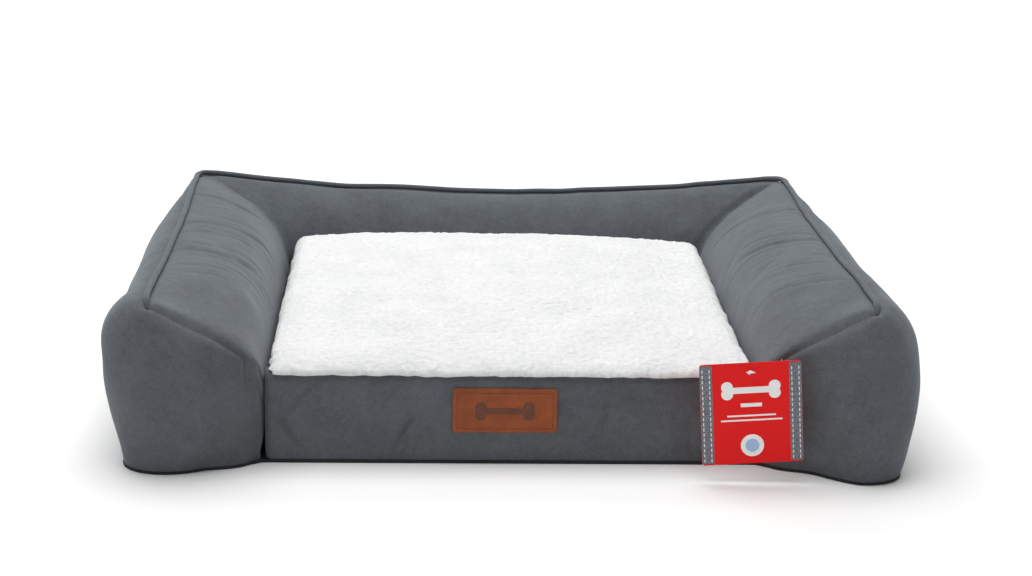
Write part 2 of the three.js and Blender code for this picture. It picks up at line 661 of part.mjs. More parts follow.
// ---------------------------------------------------------------- cushion

const cushion = new THREE.Group();
bed.add(cushion);
const cushionSide = SIDE_WELL - CUSHION_CLEARANCE;
const cushionBack = BACK_WELL - CUSHION_BACK_CLEARANCE;
const cushionFront = wallBack + CUSHION_CLEARANCE; // below the lip
const lipFront = FRONT_WALL_FACE + LIP_OVERHANG;
const lipFoot = FRONT_WALL_HEIGHT + GAP;
const lipMiddle = (lipFront + cushionBack) / 2;
const lipHalf = (cushionBack - lipFront) / 2;

// Height of the pile, highest behind the middle.
function crownHeight(x, y) {
  const across = 1 - Math.min(1, Math.abs(x) / cushionSide) ** 2;
  const along = THREE.MathUtils.clamp((y - lipMiddle) / lipHalf, -1, 1);
  const rise = (along + 1) / 2;
  const edge = FRONT_WALL_HEIGHT + lerp(CUSHION_FRONT_RISE, CUSHION_BACK_RISE, rise);
  return edge + CUSHION_BACK_CROWN * across * rise + CUSHION_CROWN * across * (1 - along ** 2);
}

// A block over the whole top and past it, its upper face lying a depth below the pile.
function crownedBlock(foot, depth) {
  const past = 2 * CUSHION_RADIUS;
  const block = new THREE.BoxGeometry(2 * cushionSide + past, 2 * lipHalf + past, 1, 15, 15, 1);
  block.translate(0, lipMiddle, 0.5);
  const position = block.attributes.position;
  for (let i = 0; i < position.count; i += 1) {
    const top = position.getZ(i) > 0.5;
    position.setZ(i, top ? crownHeight(position.getX(i), position.getY(i)) - depth : foot);
  }
  return solid(block);
}
function cushionPlan(front, distance) {
  return inset(roundedRectangle(-cushionSide, cushionSide, front, cushionBack, CUSHION_RADIUS), distance);
}
const lipPrism = (distance) => alongZ(cushionPlan(lipFront, distance), -FAR, FAR);
const bodyPrism = (distance, foot, top) => alongZ(cushionPlan(cushionFront, distance), foot, top);
const mouth = SHERPA + CUSHION_SEAM; // the opening under the top cover, where the stuffing passes
const cavityFoot = lipFoot + CUSHION_CLOTH;
const topCavity = crownedBlock(cavityFoot, SHERPA)
  .intersect(lipPrism(SHERPA))
  .add(bodyPrism(mouth, BELOW, cavityFoot + LOOSE));
const topCover = crownedBlock(lipFoot, 0).intersect(lipPrism(0)).subtract(topCavity);
add(cushion, "cushion_top_cover", geometryOf(topCover), sherpa);

const traySeam = lipFoot - GAP;
const tray = bodyPrism(0, FLOOR, traySeam).subtract(bodyPrism(CUSHION_CLOTH, FLOOR + CUSHION_CLOTH, FAR));
add(cushion, "cushion_base_cover", geometryOf(tray), cushionCloth);

const fillFoot = FLOOR + CUSHION_CLOTH + GAP;
const cushionFill = crownedBlock(cavityFoot + LOOSE, SHERPA + LOOSE)
  .intersect(lipPrism(SHERPA + LOOSE))
  .add(bodyPrism(mouth + LOOSE, fillFoot, cavityFoot + 2 * LOOSE))
  .add(bodyPrism(CUSHION_CLOTH + LOOSE, fillFoot, traySeam - LOOSE));
add(cushion, "cushion_fill", geometryOf(cushionFill), stuffing);

export default bed;
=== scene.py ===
"""Pet cushion bed: stuffed suede bolsters on three sides, a low front wall, a sherpa-topped cushion.

Metres, +X to the right, +Y to the back, +Z up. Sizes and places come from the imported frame.
"""

import json
import math

import bmesh
import bpy
import numpy as np
from mathutils import Matrix, Vector


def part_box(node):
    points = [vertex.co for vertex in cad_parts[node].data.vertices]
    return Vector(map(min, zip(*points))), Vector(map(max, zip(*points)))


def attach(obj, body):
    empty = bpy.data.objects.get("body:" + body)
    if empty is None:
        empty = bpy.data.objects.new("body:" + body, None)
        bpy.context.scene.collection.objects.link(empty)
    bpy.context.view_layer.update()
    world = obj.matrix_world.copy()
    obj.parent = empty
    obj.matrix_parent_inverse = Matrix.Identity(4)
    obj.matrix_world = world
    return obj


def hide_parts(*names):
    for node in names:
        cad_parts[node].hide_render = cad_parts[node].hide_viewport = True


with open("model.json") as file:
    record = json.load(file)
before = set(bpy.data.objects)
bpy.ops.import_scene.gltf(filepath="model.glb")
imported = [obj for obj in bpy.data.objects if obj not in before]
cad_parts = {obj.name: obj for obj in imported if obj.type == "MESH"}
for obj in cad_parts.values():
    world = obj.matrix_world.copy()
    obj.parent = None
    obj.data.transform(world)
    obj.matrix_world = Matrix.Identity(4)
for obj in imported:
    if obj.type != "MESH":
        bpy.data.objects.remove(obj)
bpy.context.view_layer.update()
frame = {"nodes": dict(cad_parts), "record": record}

MM = 0.001

# ---------------------------------------------------------------- places taken from the frame

side_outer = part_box("right_outer_panel")
side_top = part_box("right_top_panel")
back_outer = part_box("back_outer_panel")
back_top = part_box("back_top_panel")
piping_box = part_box("ridge_piping")
base_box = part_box("base_panel")
wall_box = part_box("front_wall_cover")
pile_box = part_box("cushion_top_cover")
tray_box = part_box("cushion_base_cover")

PIPING_RADIUS = (piping_box[1].z - piping_box[0].z) / 2
BULGE_X = side_outer[1].x
BULGE_FRONT = side_outer[0].y
BULGE_BACK = back_outer[1].y
RIDGE_X = piping_box[1].x - PIPING_RADIUS
RIDGE_Y = piping_box[1].y - PIPING_RADIUS
RIDGE_Z = side_outer[1].z
WELL_X = side_top[0].x
WELL_Y = back_top[0].y
SEAM_Y = side_top[0].y  # where the top panels end, at the bolsters' front ends
FOOT_X = base_box[1].x
FOOT_FRONT = base_box[0].y
FOOT_BACK = base_box[1].y
FOOT_Z = base_box[1].z

# Plan radii and heights that the stuffed shape keeps from the pattern.
END_RADIUS = 60 * MM
BACK_RADIUS = 55 * MM
SHOULDER_Z = 85 * MM
WELL_LEAN = 5 * MM

# How the sewn and stuffed shape departs from the plain pattern.
BACK_SAG = 15 * MM  # the middle of the back ridge hangs below its corners
CORNER_RISE = 5 * MM
CORNER_SPREAD = 4 * MM  # the back corners of the ridge stand further out
CORNER_SLACK = 20 * MM  # and the cover under them bulges less

RIDGE_PULL = 5 * MM  # the ridge seam draws the cloth down beside its piping
RIDGE_REACH = 7 * MM
FRONT_PULL = 3.6 * MM  # the sloping front seams, without piping, draw in less
FRONT_REACH = 6 * MM
MITRE_PULL = {"left": 1.2 * MM, "right": 4.2 * MM}  # the right corner is stitched tighter
MITRE_REACH = 7 * MM
RIDGE_CORNER = 22 * MM  # plan radius of the ridge's back corners
TUCK_DEPTHS = (1.1, 1.7)  # millimetres: small tucks below the ridge, and more at the front ends
FOLD_DEPTH = 0.9 * MM  # small folds above the foot and across the back
CLOTH = 1.6 * MM
ZIP_Z = 34 * MM
ZIP_RECESS = 5.5 * MM  # how far the cover turns in behind the zip
ZIP_REACH = 5.5 * MM  # and how far above and below it

STUFFING_PRESSURE = 4.0
SWELL_LIMIT = 9 * MM
SWELL_FRAMES = 20
SOFTENING_ROUNDS = 40

# Rows and columns of the bolster patches; even, because the cloth is simulated at half of them.
ROWS_OUTER = 34
ROWS_TOP = 28
COLS_SIDE = 200
COLS_BACK = 168
ROWS_PANEL = ROWS_TOP + ROWS_OUTER

# Steps of the outer cover's plan: its inner end, outer end, side, back corner and half back.
INNER_STEPS = 10
OUTER_STEPS = 22
SIDE_STEPS = 60
CORNER_STEPS = 20
BACK_STEPS = 50
RIDGE_END_STEP = 9  # the step of the outer end that lies under the ridge's front end


# ---------------------------------------------------------------- number tools


def smooth(x, low, high):
    """Rises smoothly from 0 at low to 1 at high."""
    t = np.clip((x - low) / (high - low), 0.0, 1.0)
    return t * t * (3.0 - 2.0 * t)


# What makes the noise's values look random.
NOISE_SHIFT = 31.7
NOISE_WAY = np.array([127.1, 311.7, 74.7])
NOISE_GAIN = 43758.5453


def soft_noise(points, size, seed):
    """Smooth noise from -1 to 1 over points, with lumps of about the given size."""
    q = np.asarray(points, float) / size + NOISE_SHIFT * (seed + 1.0)
    cell = np.floor(q)
    f = q - cell
    f = f * f * (3.0 - 2.0 * f)
    total = np.zeros(q.shape[:-1])
    for corner in np.ndindex(2, 2, 2):
        c = np.array(corner, float)
        weight = np.prod(np.where(c > 0, f, 1.0 - f), axis=-1)
        spot = (cell + c) @ NOISE_WAY
        value = np.sin(spot + seed) * NOISE_GAIN
        total += weight * (2.0 * (value - np.floor(value)) - 1.0)
    return total


def lumpy(points, *layers):
    """Layers of soft noise added up, each with its depth, size and seed."""
    return sum(depth * soft_noise(points, size, seed) for depth, size, seed in layers)


def bezier(a, b, c, d, t):
    """A cubic curve from a to d, drawn towards b and c, at the shares t."""
    t = np.asarray(t, float)[..., None]
    s = 1.0 - t
    return s**3 * a + 3 * s * s * t * b + 3 * s * t * t * c + t**3 * d


def along(points):
    """Distance of each point of a line from its first point."""
    return np.concatenate([[0.0], np.cumsum(np.linalg.norm(np.diff(points, axis=0), axis=1))])


def sampled(values, run, places):
    """A line's values at other places along it, where run is each value's own place."""
    return np.column_stack([np.interp(places, run, values[:, k]) for k in range(values.shape[1])])


# ---------------------------------------------------------------- mesh tools


def placed_object(name, data):
    """An object in the scene for a mesh, a light or a camera."""
    placed = bpy.data.objects.new(name, data)
    bpy.context.scene.collection.objects.link(placed)
    return placed


def mesh_object(name, points, faces):
    mesh = bpy.data.meshes.new(name)
    mesh.from_pydata([tuple(p) for p in points], [], faces)
    mesh.validate()
    mesh.update()
    mesh.shade_smooth()
    return placed_object(name, mesh)


def recalculate_normals(piece):
    bm = bmesh.new()
    bm.from_mesh(piece.data)
    bmesh.ops.recalc_face_normals(bm, faces=bm.faces)
    bm.to_mesh(piece.data)
    bm.free()
    piece.data.update()


def closed_piece(name, points, faces, *materials):
    """A closed solid of one or more materials, its faces outwards."""
    piece = mesh_object(name, points, faces)
    recalculate_normals(piece)
    for material in materials:
        piece.data.materials.append(material)
    return piece


def grid_faces(cols, rows, start=0, wrap_cols=False, wrap_rows=False, flip=False):
    """Quads over a grid whose point (i, j) is start + i * rows + j."""
    faces = []
    for i in range(cols if wrap_cols else cols - 1):
        for j in range(rows if wrap_rows else rows - 1):
            a = start + i * rows + j
            b = start + ((i + 1) % cols) * rows + j
            c = start + ((i + 1) % cols) * rows + (j + 1) % rows
            d = start + i * rows + (j + 1) % rows
            faces.append((d, c, b, a) if flip else (a, b, c, d))
    return faces


def capped_faces(rings, around):
    """Quads round a stack of rings, with a cap on the first ring and on the last."""
    faces = grid_faces(rings, around, wrap_rows=True)
    last = (rings - 1) * around
    faces.append(tuple(range(around)))
    faces.append(tuple(last + k for k in reversed(range(around))))
    return faces


def rim_of_grid(cols, rows):
    """Indices of a grid's outermost points, once round."""
    rim = [(i, 0) for i in range(cols)] + [(cols - 1, j) for j in range(1, rows)]
    rim += [(i, rows - 1) for i in range(cols - 2, -1, -1)]
    rim += [(0, j) for j in range(rows - 2, 0, -1)]
    return [i * rows + j for i, j in rim]


def apply_modifiers(piece):
    depsgraph = bpy.context.evaluated_depsgraph_get()
    mesh = bpy.data.meshes.new_from_object(piece.evaluated_get(depsgraph))
    piece.modifiers.clear()
    old = piece.data
    piece.data = mesh
    bpy.data.meshes.remove(old)


def normals(piece):
    piece.data.update()
    n = np.empty(len(piece.data.vertices) * 3)
    piece.data.vertex_normals.foreach_get("vector", n)
    return n.reshape(-1, 3)


def subdivide(piece):
    """Splits each face in four and rounds the cloth."""
    subdivision = piece.modifiers.new("subdivision", "SUBSURF")
    subdivision.levels = 1
    subdivision.render_levels = 1
    apply_modifiers(piece)


def thicken(piece, thickness):
    """Gives a cloth panel its thickness, on its inner side."""
    solid = piece.modifiers.new("thickness", "SOLIDIFY")
    solid.thickness = thickness
    solid.offset = -1.0
    apply_modifiers(piece)


def tube(name, path, radius, sides, material):
    """A round cord along a path of points, capped at its ends; its radius may vary along it."""
    tangent = np.gradient(path, axis=0)
    tangent /= np.linalg.norm(tangent, axis=1)[:, None]
    across = np.cross(tangent, (0.0, 0.0, 1.0))
    across /= np.linalg.norm(across, axis=1)[:, None]
    up = np.cross(across, tangent)
    angle = np.linspace(0, 2 * math.pi, sides, endpoint=False)
    cosine, sine = np.cos(angle)[None, :, None], np.sin(angle)[None, :, None]
    ring = cosine * across[:, None] + sine * up[:, None]
    reach = np.broadcast_to(radius, len(path))[:, None, None]
    points = (path[:, None] + reach * ring).reshape(-1, 3)
    return closed_piece(name, points, capped_faces(len(path), sides), material)


# ---------------------------------------------------------------- materials

NOISE = "ShaderNodeTexNoise"
RAMP = "ShaderNodeValToRGB"
MIX = "ShaderNodeMix"
MATH = "ShaderNodeMath"
BUMP = "ShaderNodeBump"
CELLS = "ShaderNodeTexVoronoi"
SPLIT = "ShaderNodeSeparateXYZ"
FACTOR, FIRST, SECOND = 0, 6, 7  # a colour mix's inputs


def srgb(code):
    """An sRGB hex colour as linear RGBA."""
    parts = [int(code[k : k + 2], 16) / 255 for k in (0, 2, 4)]
    linear = [p / 12.92 if p <= 0.04045 else ((p + 0.055) / 1.055) ** 2.4 for p in parts]
    return (*linear, 1.0)


def add_node(tree, kind, links, output=0, stops=(), **settings):
    """Adds a node with its settings and links, and gives one of its outputs.

    An input takes a socket, a number or a hex colour; stops are a colour ramp's places and colours.
    """
    node = tree.nodes.new(kind)
    for key, value in settings.items():
        setattr(node, key, value)
    for key, value in links.items():
        if isinstance(value, bpy.types.NodeSocket):
            tree.links.new(value, node.inputs[key])
        else:
            node.inputs[key].default_value = srgb(value) if isinstance(value, str) else value
    for k, (position, colour) in enumerate(stops):
        elements = node.color_ramp.elements
        element = elements[k] if k < 2 else elements.new(1.0)
        element.position = position
        element.color = srgb(colour)
    return node.outputs[output]


def new_material(name, roughness, **fixed):
    """A material with its shader's own constants, and the coordinates its patterns use, in metres."""
    material = bpy.data.materials.new(name)
    material.use_nodes = True
    tree = material.node_tree
    shader = tree.nodes["Principled BSDF"]
    shader.inputs["Roughness"].default_value = roughness
    for key, value in fixed.items():
        shader.inputs[key.replace("_", " ")].default_value = value
    coords = add_node(tree, "ShaderNodeTexCoord", {}, "Object")
    return material, tree, shader, coords


def brushed_microsuede():
    """Knitted polyester microsuede, brushed: a short nap that lies in lighter and darker swirls."""
    material, tree, shader, coords = new_material(
        "brushed_microsuede", 0.92, Sheen_Weight=0.35, Sheen_Roughness=0.45, Specular_IOR_Level=0.25
    )
    shader.inputs["Sheen Tint"].default_value = srgb("c9d0d6")
    swirl_map = {"Vector": coords, "Scale": 1 / (38 * MM), "Detail": 3.0, "Roughness": 0.55}
    stroke_map = {"Vector": coords, "Scale": 1 / (7 * MM), "Detail": 4.0, "Roughness": 0.65}
    # Single fibres are too fine to show, so the finest nap is drawn 1.6 mm wide.
    fibre_map = {"Vector": coords, "Scale": 1 / (1.6 * MM), "Detail": 3.0, "Roughness": 0.7}
    swirls = add_node(tree, NOISE, swirl_map)
    strokes = add_node(tree, NOISE, stroke_map)
    fibres = add_node(tree, NOISE, fibre_map)
    base = add_node(tree, RAMP, {"Fac": swirls}, stops=((0.3, "4f5357"), (0.7, "5f6468")))
    brushed = add_node(tree, RAMP, {"Fac": strokes}, stops=((0.3, "3a3e41"), (0.7, "767b80")))
    nap = add_node(tree, RAMP, {"Fac": fibres}, stops=((0.3, "2a2d30"), (0.7, "878c91")))
    base = add_node(tree, MIX, {FACTOR: 0.18, FIRST: base, SECOND: brushed}, 2, data_type="RGBA")
    base = add_node(tree, MIX, {FACTOR: 0.18, FIRST: base, SECOND: nap}, 2, data_type="RGBA")
    tree.links.new(base, shader.inputs["Base Color"])
    soft = add_node(tree, BUMP, {"Height": strokes, "Distance": 1.2 * MM, "Strength": 0.5})
    standing = {"Height": fibres, "Distance": 0.5 * MM, "Strength": 0.6, "Normal": soft}
    fine = add_node(tree, BUMP, standing)
    tree.links.new(fine, shader.inputs["Normal"])
    return material


def knitted_sherpa():
    """White polyester sherpa, knitted and curled: pile in small soft clumps, with painted shade
    greying it between them and between the curls.
    """
    material, tree, shader, coords = new_material(
        "knitted_sherpa", 1.0, Sheen_Weight=0.3, Sheen_Roughness=0.6, Specular_IOR_Level=0.15
    )
    clump_map = {"Vector": coords, "Scale": 1 / (5 * MM), "Detail": 4.0, "Roughness": 0.65}
    curl_map = {"Vector": coords, "Scale": 1 / (1.5 * MM), "Detail": 3.0, "Roughness": 0.7}
    clumps = add_node(tree, NOISE, clump_map)
    curls = add_node(tree, NOISE, curl_map)
    patches = add_node(tree, NOISE, {"Vector": coords, "Scale": 1 / (60 * MM)})
    # Painted shade: the clump and curl ramps turn the pile greyer where their noise is low, in the
    # hollows that the bumps make.
    base = add_node(tree, RAMP, {"Fac": clumps}, stops=((0.3, "d9dadb"), (0.62, "f1f1f0")))
    curled = add_node(tree, RAMP, {"Fac": curls}, stops=((0.3, "c2c4c6"), (0.7, "f8f8f7")))
    trodden = add_node(tree, RAMP, {"Fac": patches}, stops=((0.35, "d2d4d6"), (0.65, "f6f6f5")))
    base = add_node(tree, MIX, {FACTOR: 0.28, FIRST: base, SECOND: curled}, 2, data_type="RGBA")
    base = add_node(tree, MIX, {FACTOR: 0.2, FIRST: base, SECOND: trodden}, 2, data_type="RGBA")
    tree.links.new(base, shader.inputs["Base Color"])
    soft = add_node(tree, BUMP, {"Height": clumps, "Distance": 2.5 * MM, "Strength": 0.6})
    curled_up = {"Height": curls, "Distance": 1.0 * MM, "Strength": 0.7, "Normal": soft}
    fine = add_node(tree, BUMP, curled_up)
    tree.links.new(fine, shader.inputs["Normal"])
    return material


def saddle_leather():
    """Saddle leather, dyed and burnished: a pebbled grain of 1.3 mm cells, mottled by the dye."""
    material, tree, shader, coords = new_material("saddle_leather", 0.55, Specular_IOR_Level=0.4)
    pebbles = {"Vector": coords, "Scale": 1 / (1.3 * MM)}
    cells = add_node(tree, CELLS, pebbles, "Distance", feature="DISTANCE_TO_EDGE")
    dye_map = {"Vector": coords, "Scale": 1 / (14 * MM), "Detail": 4.0, "Roughness": 0.6}
    tone = add_node(tree, NOISE, dye_map)
    pores = add_node(tree, NOISE, {"Vector": coords, "Scale": 1 / (0.9 * MM)})
    dye = ((0.3, "813a14"), (0.75, "a8501e"))
    base = add_node(tree, RAMP, {"Fac": tone}, stops=dye)
    pore_tone = add_node(tree, RAMP, {"Fac": pores}, stops=((0.35, "5c2c15"), (0.65, "b3642f")))
    base = add_node(tree, MIX, {FACTOR: 0.18, FIRST: base, SECOND: pore_tone}, 2, data_type="RGBA")
    tree.links.new(base, shader.inputs["Base Color"])
    grain = add_node(tree, RAMP, {"Fac": cells}, stops=((0.0, "000000"), (0.12, "ffffff")))
    grained = add_node(tree, BUMP, {"Height": grain, "Distance": 0.25 * MM, "Strength": 0.45})
    tree.links.new(grained, shader.inputs["Normal"])
    return material


def pressed_leather():
    """The same leather where a heated die has pressed it: smoother and darker."""
    material, tree, shader, coords = new_material("pressed_leather", 0.42, Specular_IOR_Level=0.45)
    tone = add_node(tree, NOISE, {"Vector": coords, "Scale": 1 / (6 * MM), "Detail": 3.0})
    base = add_node(tree, RAMP, {"Fac": tone}, stops=((0.3, "5a2c14"), (0.7, "70371a")))
    tree.links.new(base, shader.inputs["Base Color"])
    flattened = add_node(tree, BUMP, {"Height": tone, "Distance": 0.2 * MM, "Strength": 0.3})
    tree.links.new(flattened, shader.inputs["Normal"])
    return material


def woven_polyester(name, light, dark, thread, roughness):
    """Polyester in a plain weave of one colour, with painted light on the thread crowns and painted
    shade in the gaps, a thread apart.

    The lining's own threads are too fine to show, so its weave is drawn coarser.
    """
    material, tree, shader, coords = new_material(name, roughness, Specular_IOR_Level=0.3)
    waves = []
    for axis in ("X", "Y", "Z"):
        place = add_node(tree, SPLIT, {0: coords}, axis)
        turns = add_node(tree, MATH, {0: place, 1: math.pi / thread}, operation="MULTIPLY")
        wave = add_node(tree, MATH, {0: turns}, operation="SINE")
        waves.append(add_node(tree, MATH, {0: wave}, operation="ABSOLUTE"))
    crossing = add_node(tree, MATH, {0: waves[1], 1: waves[2]}, operation="MULTIPLY")
    crowns = add_node(tree, MATH, {0: waves[0], 1: crossing}, operation="MAXIMUM")
    tone = add_node(tree, NOISE, {"Vector": coords, "Scale": 1 / (12 * MM)})
    # Painted light and shade: the colour is lighter on the thread crowns and darker in the gaps, from
    # the same waves that make the bump.
    base = add_node(tree, RAMP, {"Fac": crowns}, stops=((0.1, dark), (0.8, light)))
    worn = add_node(tree, RAMP, {"Fac": tone}, stops=((0.3, dark), (0.7, light)))
    base = add_node(tree, MIX, {FACTOR: 0.2, FIRST: base, SECOND: worn}, 2, data_type="RGBA")
    tree.links.new(base, shader.inputs["Base Color"])
    threads = add_node(tree, BUMP, {"Height": crowns, "Distance": 0.3 * MM, "Strength": 0.5})
    tree.links.new(threads, shader.inputs["Normal"])
    return material


def needled_base_cloth():
    """Black needle-punched felt with moulded rubber dots, 8 mm apart."""
    material, tree, shader, coords = new_material("needled_base_cloth", 0.85, Specular_IOR_Level=0.35)
    dot_map = {"Vector": coords, "Scale": 1 / (8 * MM), "Randomness": 0.0}
    spacing = add_node(tree, CELLS, dot_map, "Distance")
    felt_map = {"Vector": coords, "Scale": 1 / (2 * MM), "Detail": 4.0, "Roughness": 0.7}
    felt = add_node(tree, NOISE, felt_map)
    base = add_node(tree, RAMP, {"Fac": felt}, stops=((0.3, "1f2023"), (0.7, "323437")))
    dots = add_node(tree, MATH, {0: spacing, 1: 0.22}, operation="LESS_THAN")
    base = add_node(tree, MIX, {FACTOR: dots, FIRST: base, SECOND: "141516"}, 2, data_type="RGBA")
    tree.links.new(base, shader.inputs["Base Color"])
    soft = add_node(tree, BUMP, {"Height": felt, "Distance": 0.6 * MM, "Strength": 0.5})
    moulded = {"Height": dots, "Distance": 0.6 * MM, "Strength": 0.6, "Normal": soft}
    raised = add_node(tree, BUMP, moulded)
    tree.links.new(raised, shader.inputs["Normal"])
    return material


def moulded_nylon(name, light, dark, roughness):
    """Nylon, moulded: even and slightly waxy, with faint flow marks 4 mm long."""
    material, tree, shader, coords = new_material(name, roughness, Specular_IOR_Level=0.5)
    flow = add_node(tree, NOISE, {"Vector": coords, "Scale": 1 / (4 * MM)})
    base = add_node(tree, RAMP, {"Fac": flow}, stops=((0.3, dark), (0.7, light)))
    tree.links.new(base, shader.inputs["Base Color"])
    waxy = add_node(tree, BUMP, {"Height": flow, "Distance": 0.05 * MM, "Strength": 0.3})
    tree.links.new(waxy, shader.inputs["Normal"])
    return material


def enamelled_zinc():
    """Die-cast zinc with black stove enamel, rubbed brighter by handling."""
    material, tree, shader, coords = new_material("enamelled_zinc", 0.35, Metallic=0.7)
    wear_map = {"Vector": coords, "Scale": 1 / (1.2 * MM), "Detail": 4.0, "Roughness": 0.7}
    wear = add_node(tree, NOISE, wear_map)
    base = add_node(tree, RAMP, {"Fac": wear}, stops=((0.45, "2c2e30"), (0.75, "6d7073")))
    tree.links.new(base, shader.inputs["Base Color"])
    cast = add_node(tree, BUMP, {"Height": wear, "Distance": 0.05 * MM, "Strength": 0.4})
    tree.links.new(cast, shader.inputs["Normal"])
    return material


def woven_satin():
    """White satin ribbon, woven: long floats 0.7 mm apart that give a soft directional shine, partly
    painted into the colour as lighter float ridges with darker hollows between them.
    """
    material, tree, shader, coords = new_material("woven_satin", 0.45, Sheen_Weight=0.2)
    height = add_node(tree, SPLIT, {0: coords}, "Z")
    turns = add_node(tree, MATH, {0: height, 1: 2 * math.pi / (0.7 * MM)}, operation="MULTIPLY")
    floats = add_node(tree, MATH, {0: turns}, operation="SINE")
    # Painted shine and shade: the colour is lighter on the floats' ridges and darker between them.
    base = add_node(tree, RAMP, {"Fac": floats}, stops=((0.0, "dcdcda"), (1.0, "f8f8f6")))
    tree.links.new(base, shader.inputs["Base Color"])
    ribbed = add_node(tree, BUMP, {"Height": floats, "Distance": 0.08 * MM, "Strength": 0.4})
    tree.links.new(ribbed, shader.inputs["Normal"])
    return material


def printed_card(name, light, dark, speck, gloss):
    """Coated card, offset printed: an even ink with faint specks and a soft gloss."""
    material, tree, shader, coords = new_material(name, gloss, Specular_IOR_Level=0.25)
    speck_map = {"Vector": coords, "Scale": 1 / speck, "Roughness": 0.6}
    specks = add_node(tree, NOISE, speck_map)
    base = add_node(tree, RAMP, {"Fac": specks}, stops=((0.3, dark), (0.7, light)))
    tree.links.new(base, shader.inputs["Base Color"])
    coating = add_node(tree, NOISE, {"Vector": coords, "Scale": 1 / (5 * MM)})
    coated = add_node(tree, BUMP, {"Height": coating, "Distance": 0.1 * MM, "Strength": 0.2})
    tree.links.new(coated, shader.inputs["Normal"])
    return material


def painted_floor():
    """Plywood studio floor, rolled with matt white paint: pale, with faint broad shading."""
    material, tree, shader, coords = new_material("painted_studio_floor", 0.9, Specular_IOR_Level=0.1)
    tone = add_node(tree, NOISE, {"Vector": coords, "Scale": 1 / 0.8})
    base = add_node(tree, RAMP, {"Fac": tone}, stops=((0.3, "f7f7f7"), (0.7, "fafafa")))
    tree.links.new(base, shader.inputs["Base Color"])
    return material


# ---------------------------------------------------------------- bolster pattern


def fullness(y):
    """How full the side bolster is stuffed at a place along it: flatter top, later turn down.

    Gives what top_curve takes: the flat's share, how far it has fallen, where it turns down.
    """
    full = smooth(y, SEAM_Y, SEAM_Y + 120 * MM) * (1.0 - 0.6 * smooth(y, 40 * MM, WELL_Y))
    flat = 0.4 + 0.14 * full
    fall = 0.22 - 0.2 * full
    turn = 0.47 + 0.33 * full
    return flat, fall, turn


def top_curve(share, flat, fall, turn):
    """The top panel across a bolster: 0 at the ridge, 1 at the shoulder. Width share and height."""
    drop = RIDGE_Z - SHOULDER_Z
    a = np.array([1.0, RIDGE_Z])
    b = np.array([1.0 - flat, RIDGE_Z - drop * fall])
    c = np.array([0.0, SHOULDER_Z + drop * turn])
    d = np.array([0.0, SHOULDER_Z])
    return bezier(a, b, c, d, share)


def well_edge(y):
    """Where the well side stands at a place along the bolster; it curves away at the front end."""
    start = BULGE_FRONT + END_RADIUS
    behind = np.clip(start - y, 0.0, END_RADIUS)
    return WELL_X + END_RADIUS - np.sqrt(END_RADIUS**2 - behind**2)


def side_rows(y):
    """Points across the right top panel at one place along it, from the ridge to the well foot."""
    fine = np.linspace(0.0, 1.0, 400)
    curve = top_curve(fine, *fullness(y))
    x = WELL_X + curve[:, 0] * (RIDGE_X - WELL_X)
    edge = float(well_edge(y))
    stop = fine[np.argmin(np.abs(x - edge) + (0.0 if edge > WELL_X + 1e-9 else 1.0) * (1.0 - fine))]
    share = np.linspace(0.0, stop, ROWS_TOP + 1)
    across = top_curve(share, *fullness(y))
    top_x = WELL_X + across[:, 0] * (RIDGE_X - WELL_X)
    top = np.column_stack([top_x, np.full(ROWS_TOP + 1, y), across[:, 1]])
    top[-1, 0] = max(edge, WELL_X)
    lean = WELL_LEAN * smooth(y, SEAM_Y, SEAM_Y + END_RADIUS)
    down = np.linspace(0.0, 1.0, ROWS_OUTER + 1)[1:]
    foot_x = top[-1, 0] + lean * down**1.5
    foot_z = top[-1, 2] * (1.0 - down) + FOOT_Z * down
    side = np.column_stack([foot_x, np.full(ROWS_OUTER, y), foot_z])
    return np.vstack([top, side])


def mitre_y(x):
    """The mitre between the side and the back, in plan, right of the middle."""
    return WELL_Y + (x - WELL_X) * (RIDGE_Y - WELL_Y) / (RIDGE_X - WELL_X)


def bulge_outline():
    """Plan of the widest line round the right half, from the front seam to the middle of the back.

    Gives the points and their outward directions.
    """
    r = END_RADIUS
    start_angle = math.asin((BULGE_FRONT + r - SEAM_Y) / r)
    inner = np.linspace(start_angle, math.pi / 2, INNER_STEPS)
    points = [(WELL_X + r - r * math.cos(a), BULGE_FRONT + r - r * math.sin(a)) for a in inner]
    ways = [(-math.cos(a), -math.sin(a)) for a in inner]
    outer = np.linspace(0.0, math.pi / 2, OUTER_STEPS)
    points += [(BULGE_X - r + r * math.sin(a), BULGE_FRONT + r - r * math.cos(a)) for a in outer]
    ways += [(math.sin(a), -math.cos(a)) for a in outer]
    for y in np.linspace(BULGE_FRONT + r, BULGE_BACK - BACK_RADIUS, SIDE_STEPS)[1:-1]:
        points.append((BULGE_X, y))
        ways.append((1.0, 0.0))
    for a in np.linspace(0.0, math.pi / 2, CORNER_STEPS):
        in_x, in_y = BACK_RADIUS * (1 - math.cos(a)), BACK_RADIUS * (1 - math.sin(a))
        points.append((BULGE_X - in_x, BULGE_BACK - in_y))
        ways.append((math.cos(a), math.sin(a)))
    for x in np.linspace(BULGE_X - BACK_RADIUS, 0.0, BACK_STEPS)[1:]:
        points.append((x, BULGE_BACK))
        ways.append((0.0, 1.0))
    return np.array(points), np.array(ways)


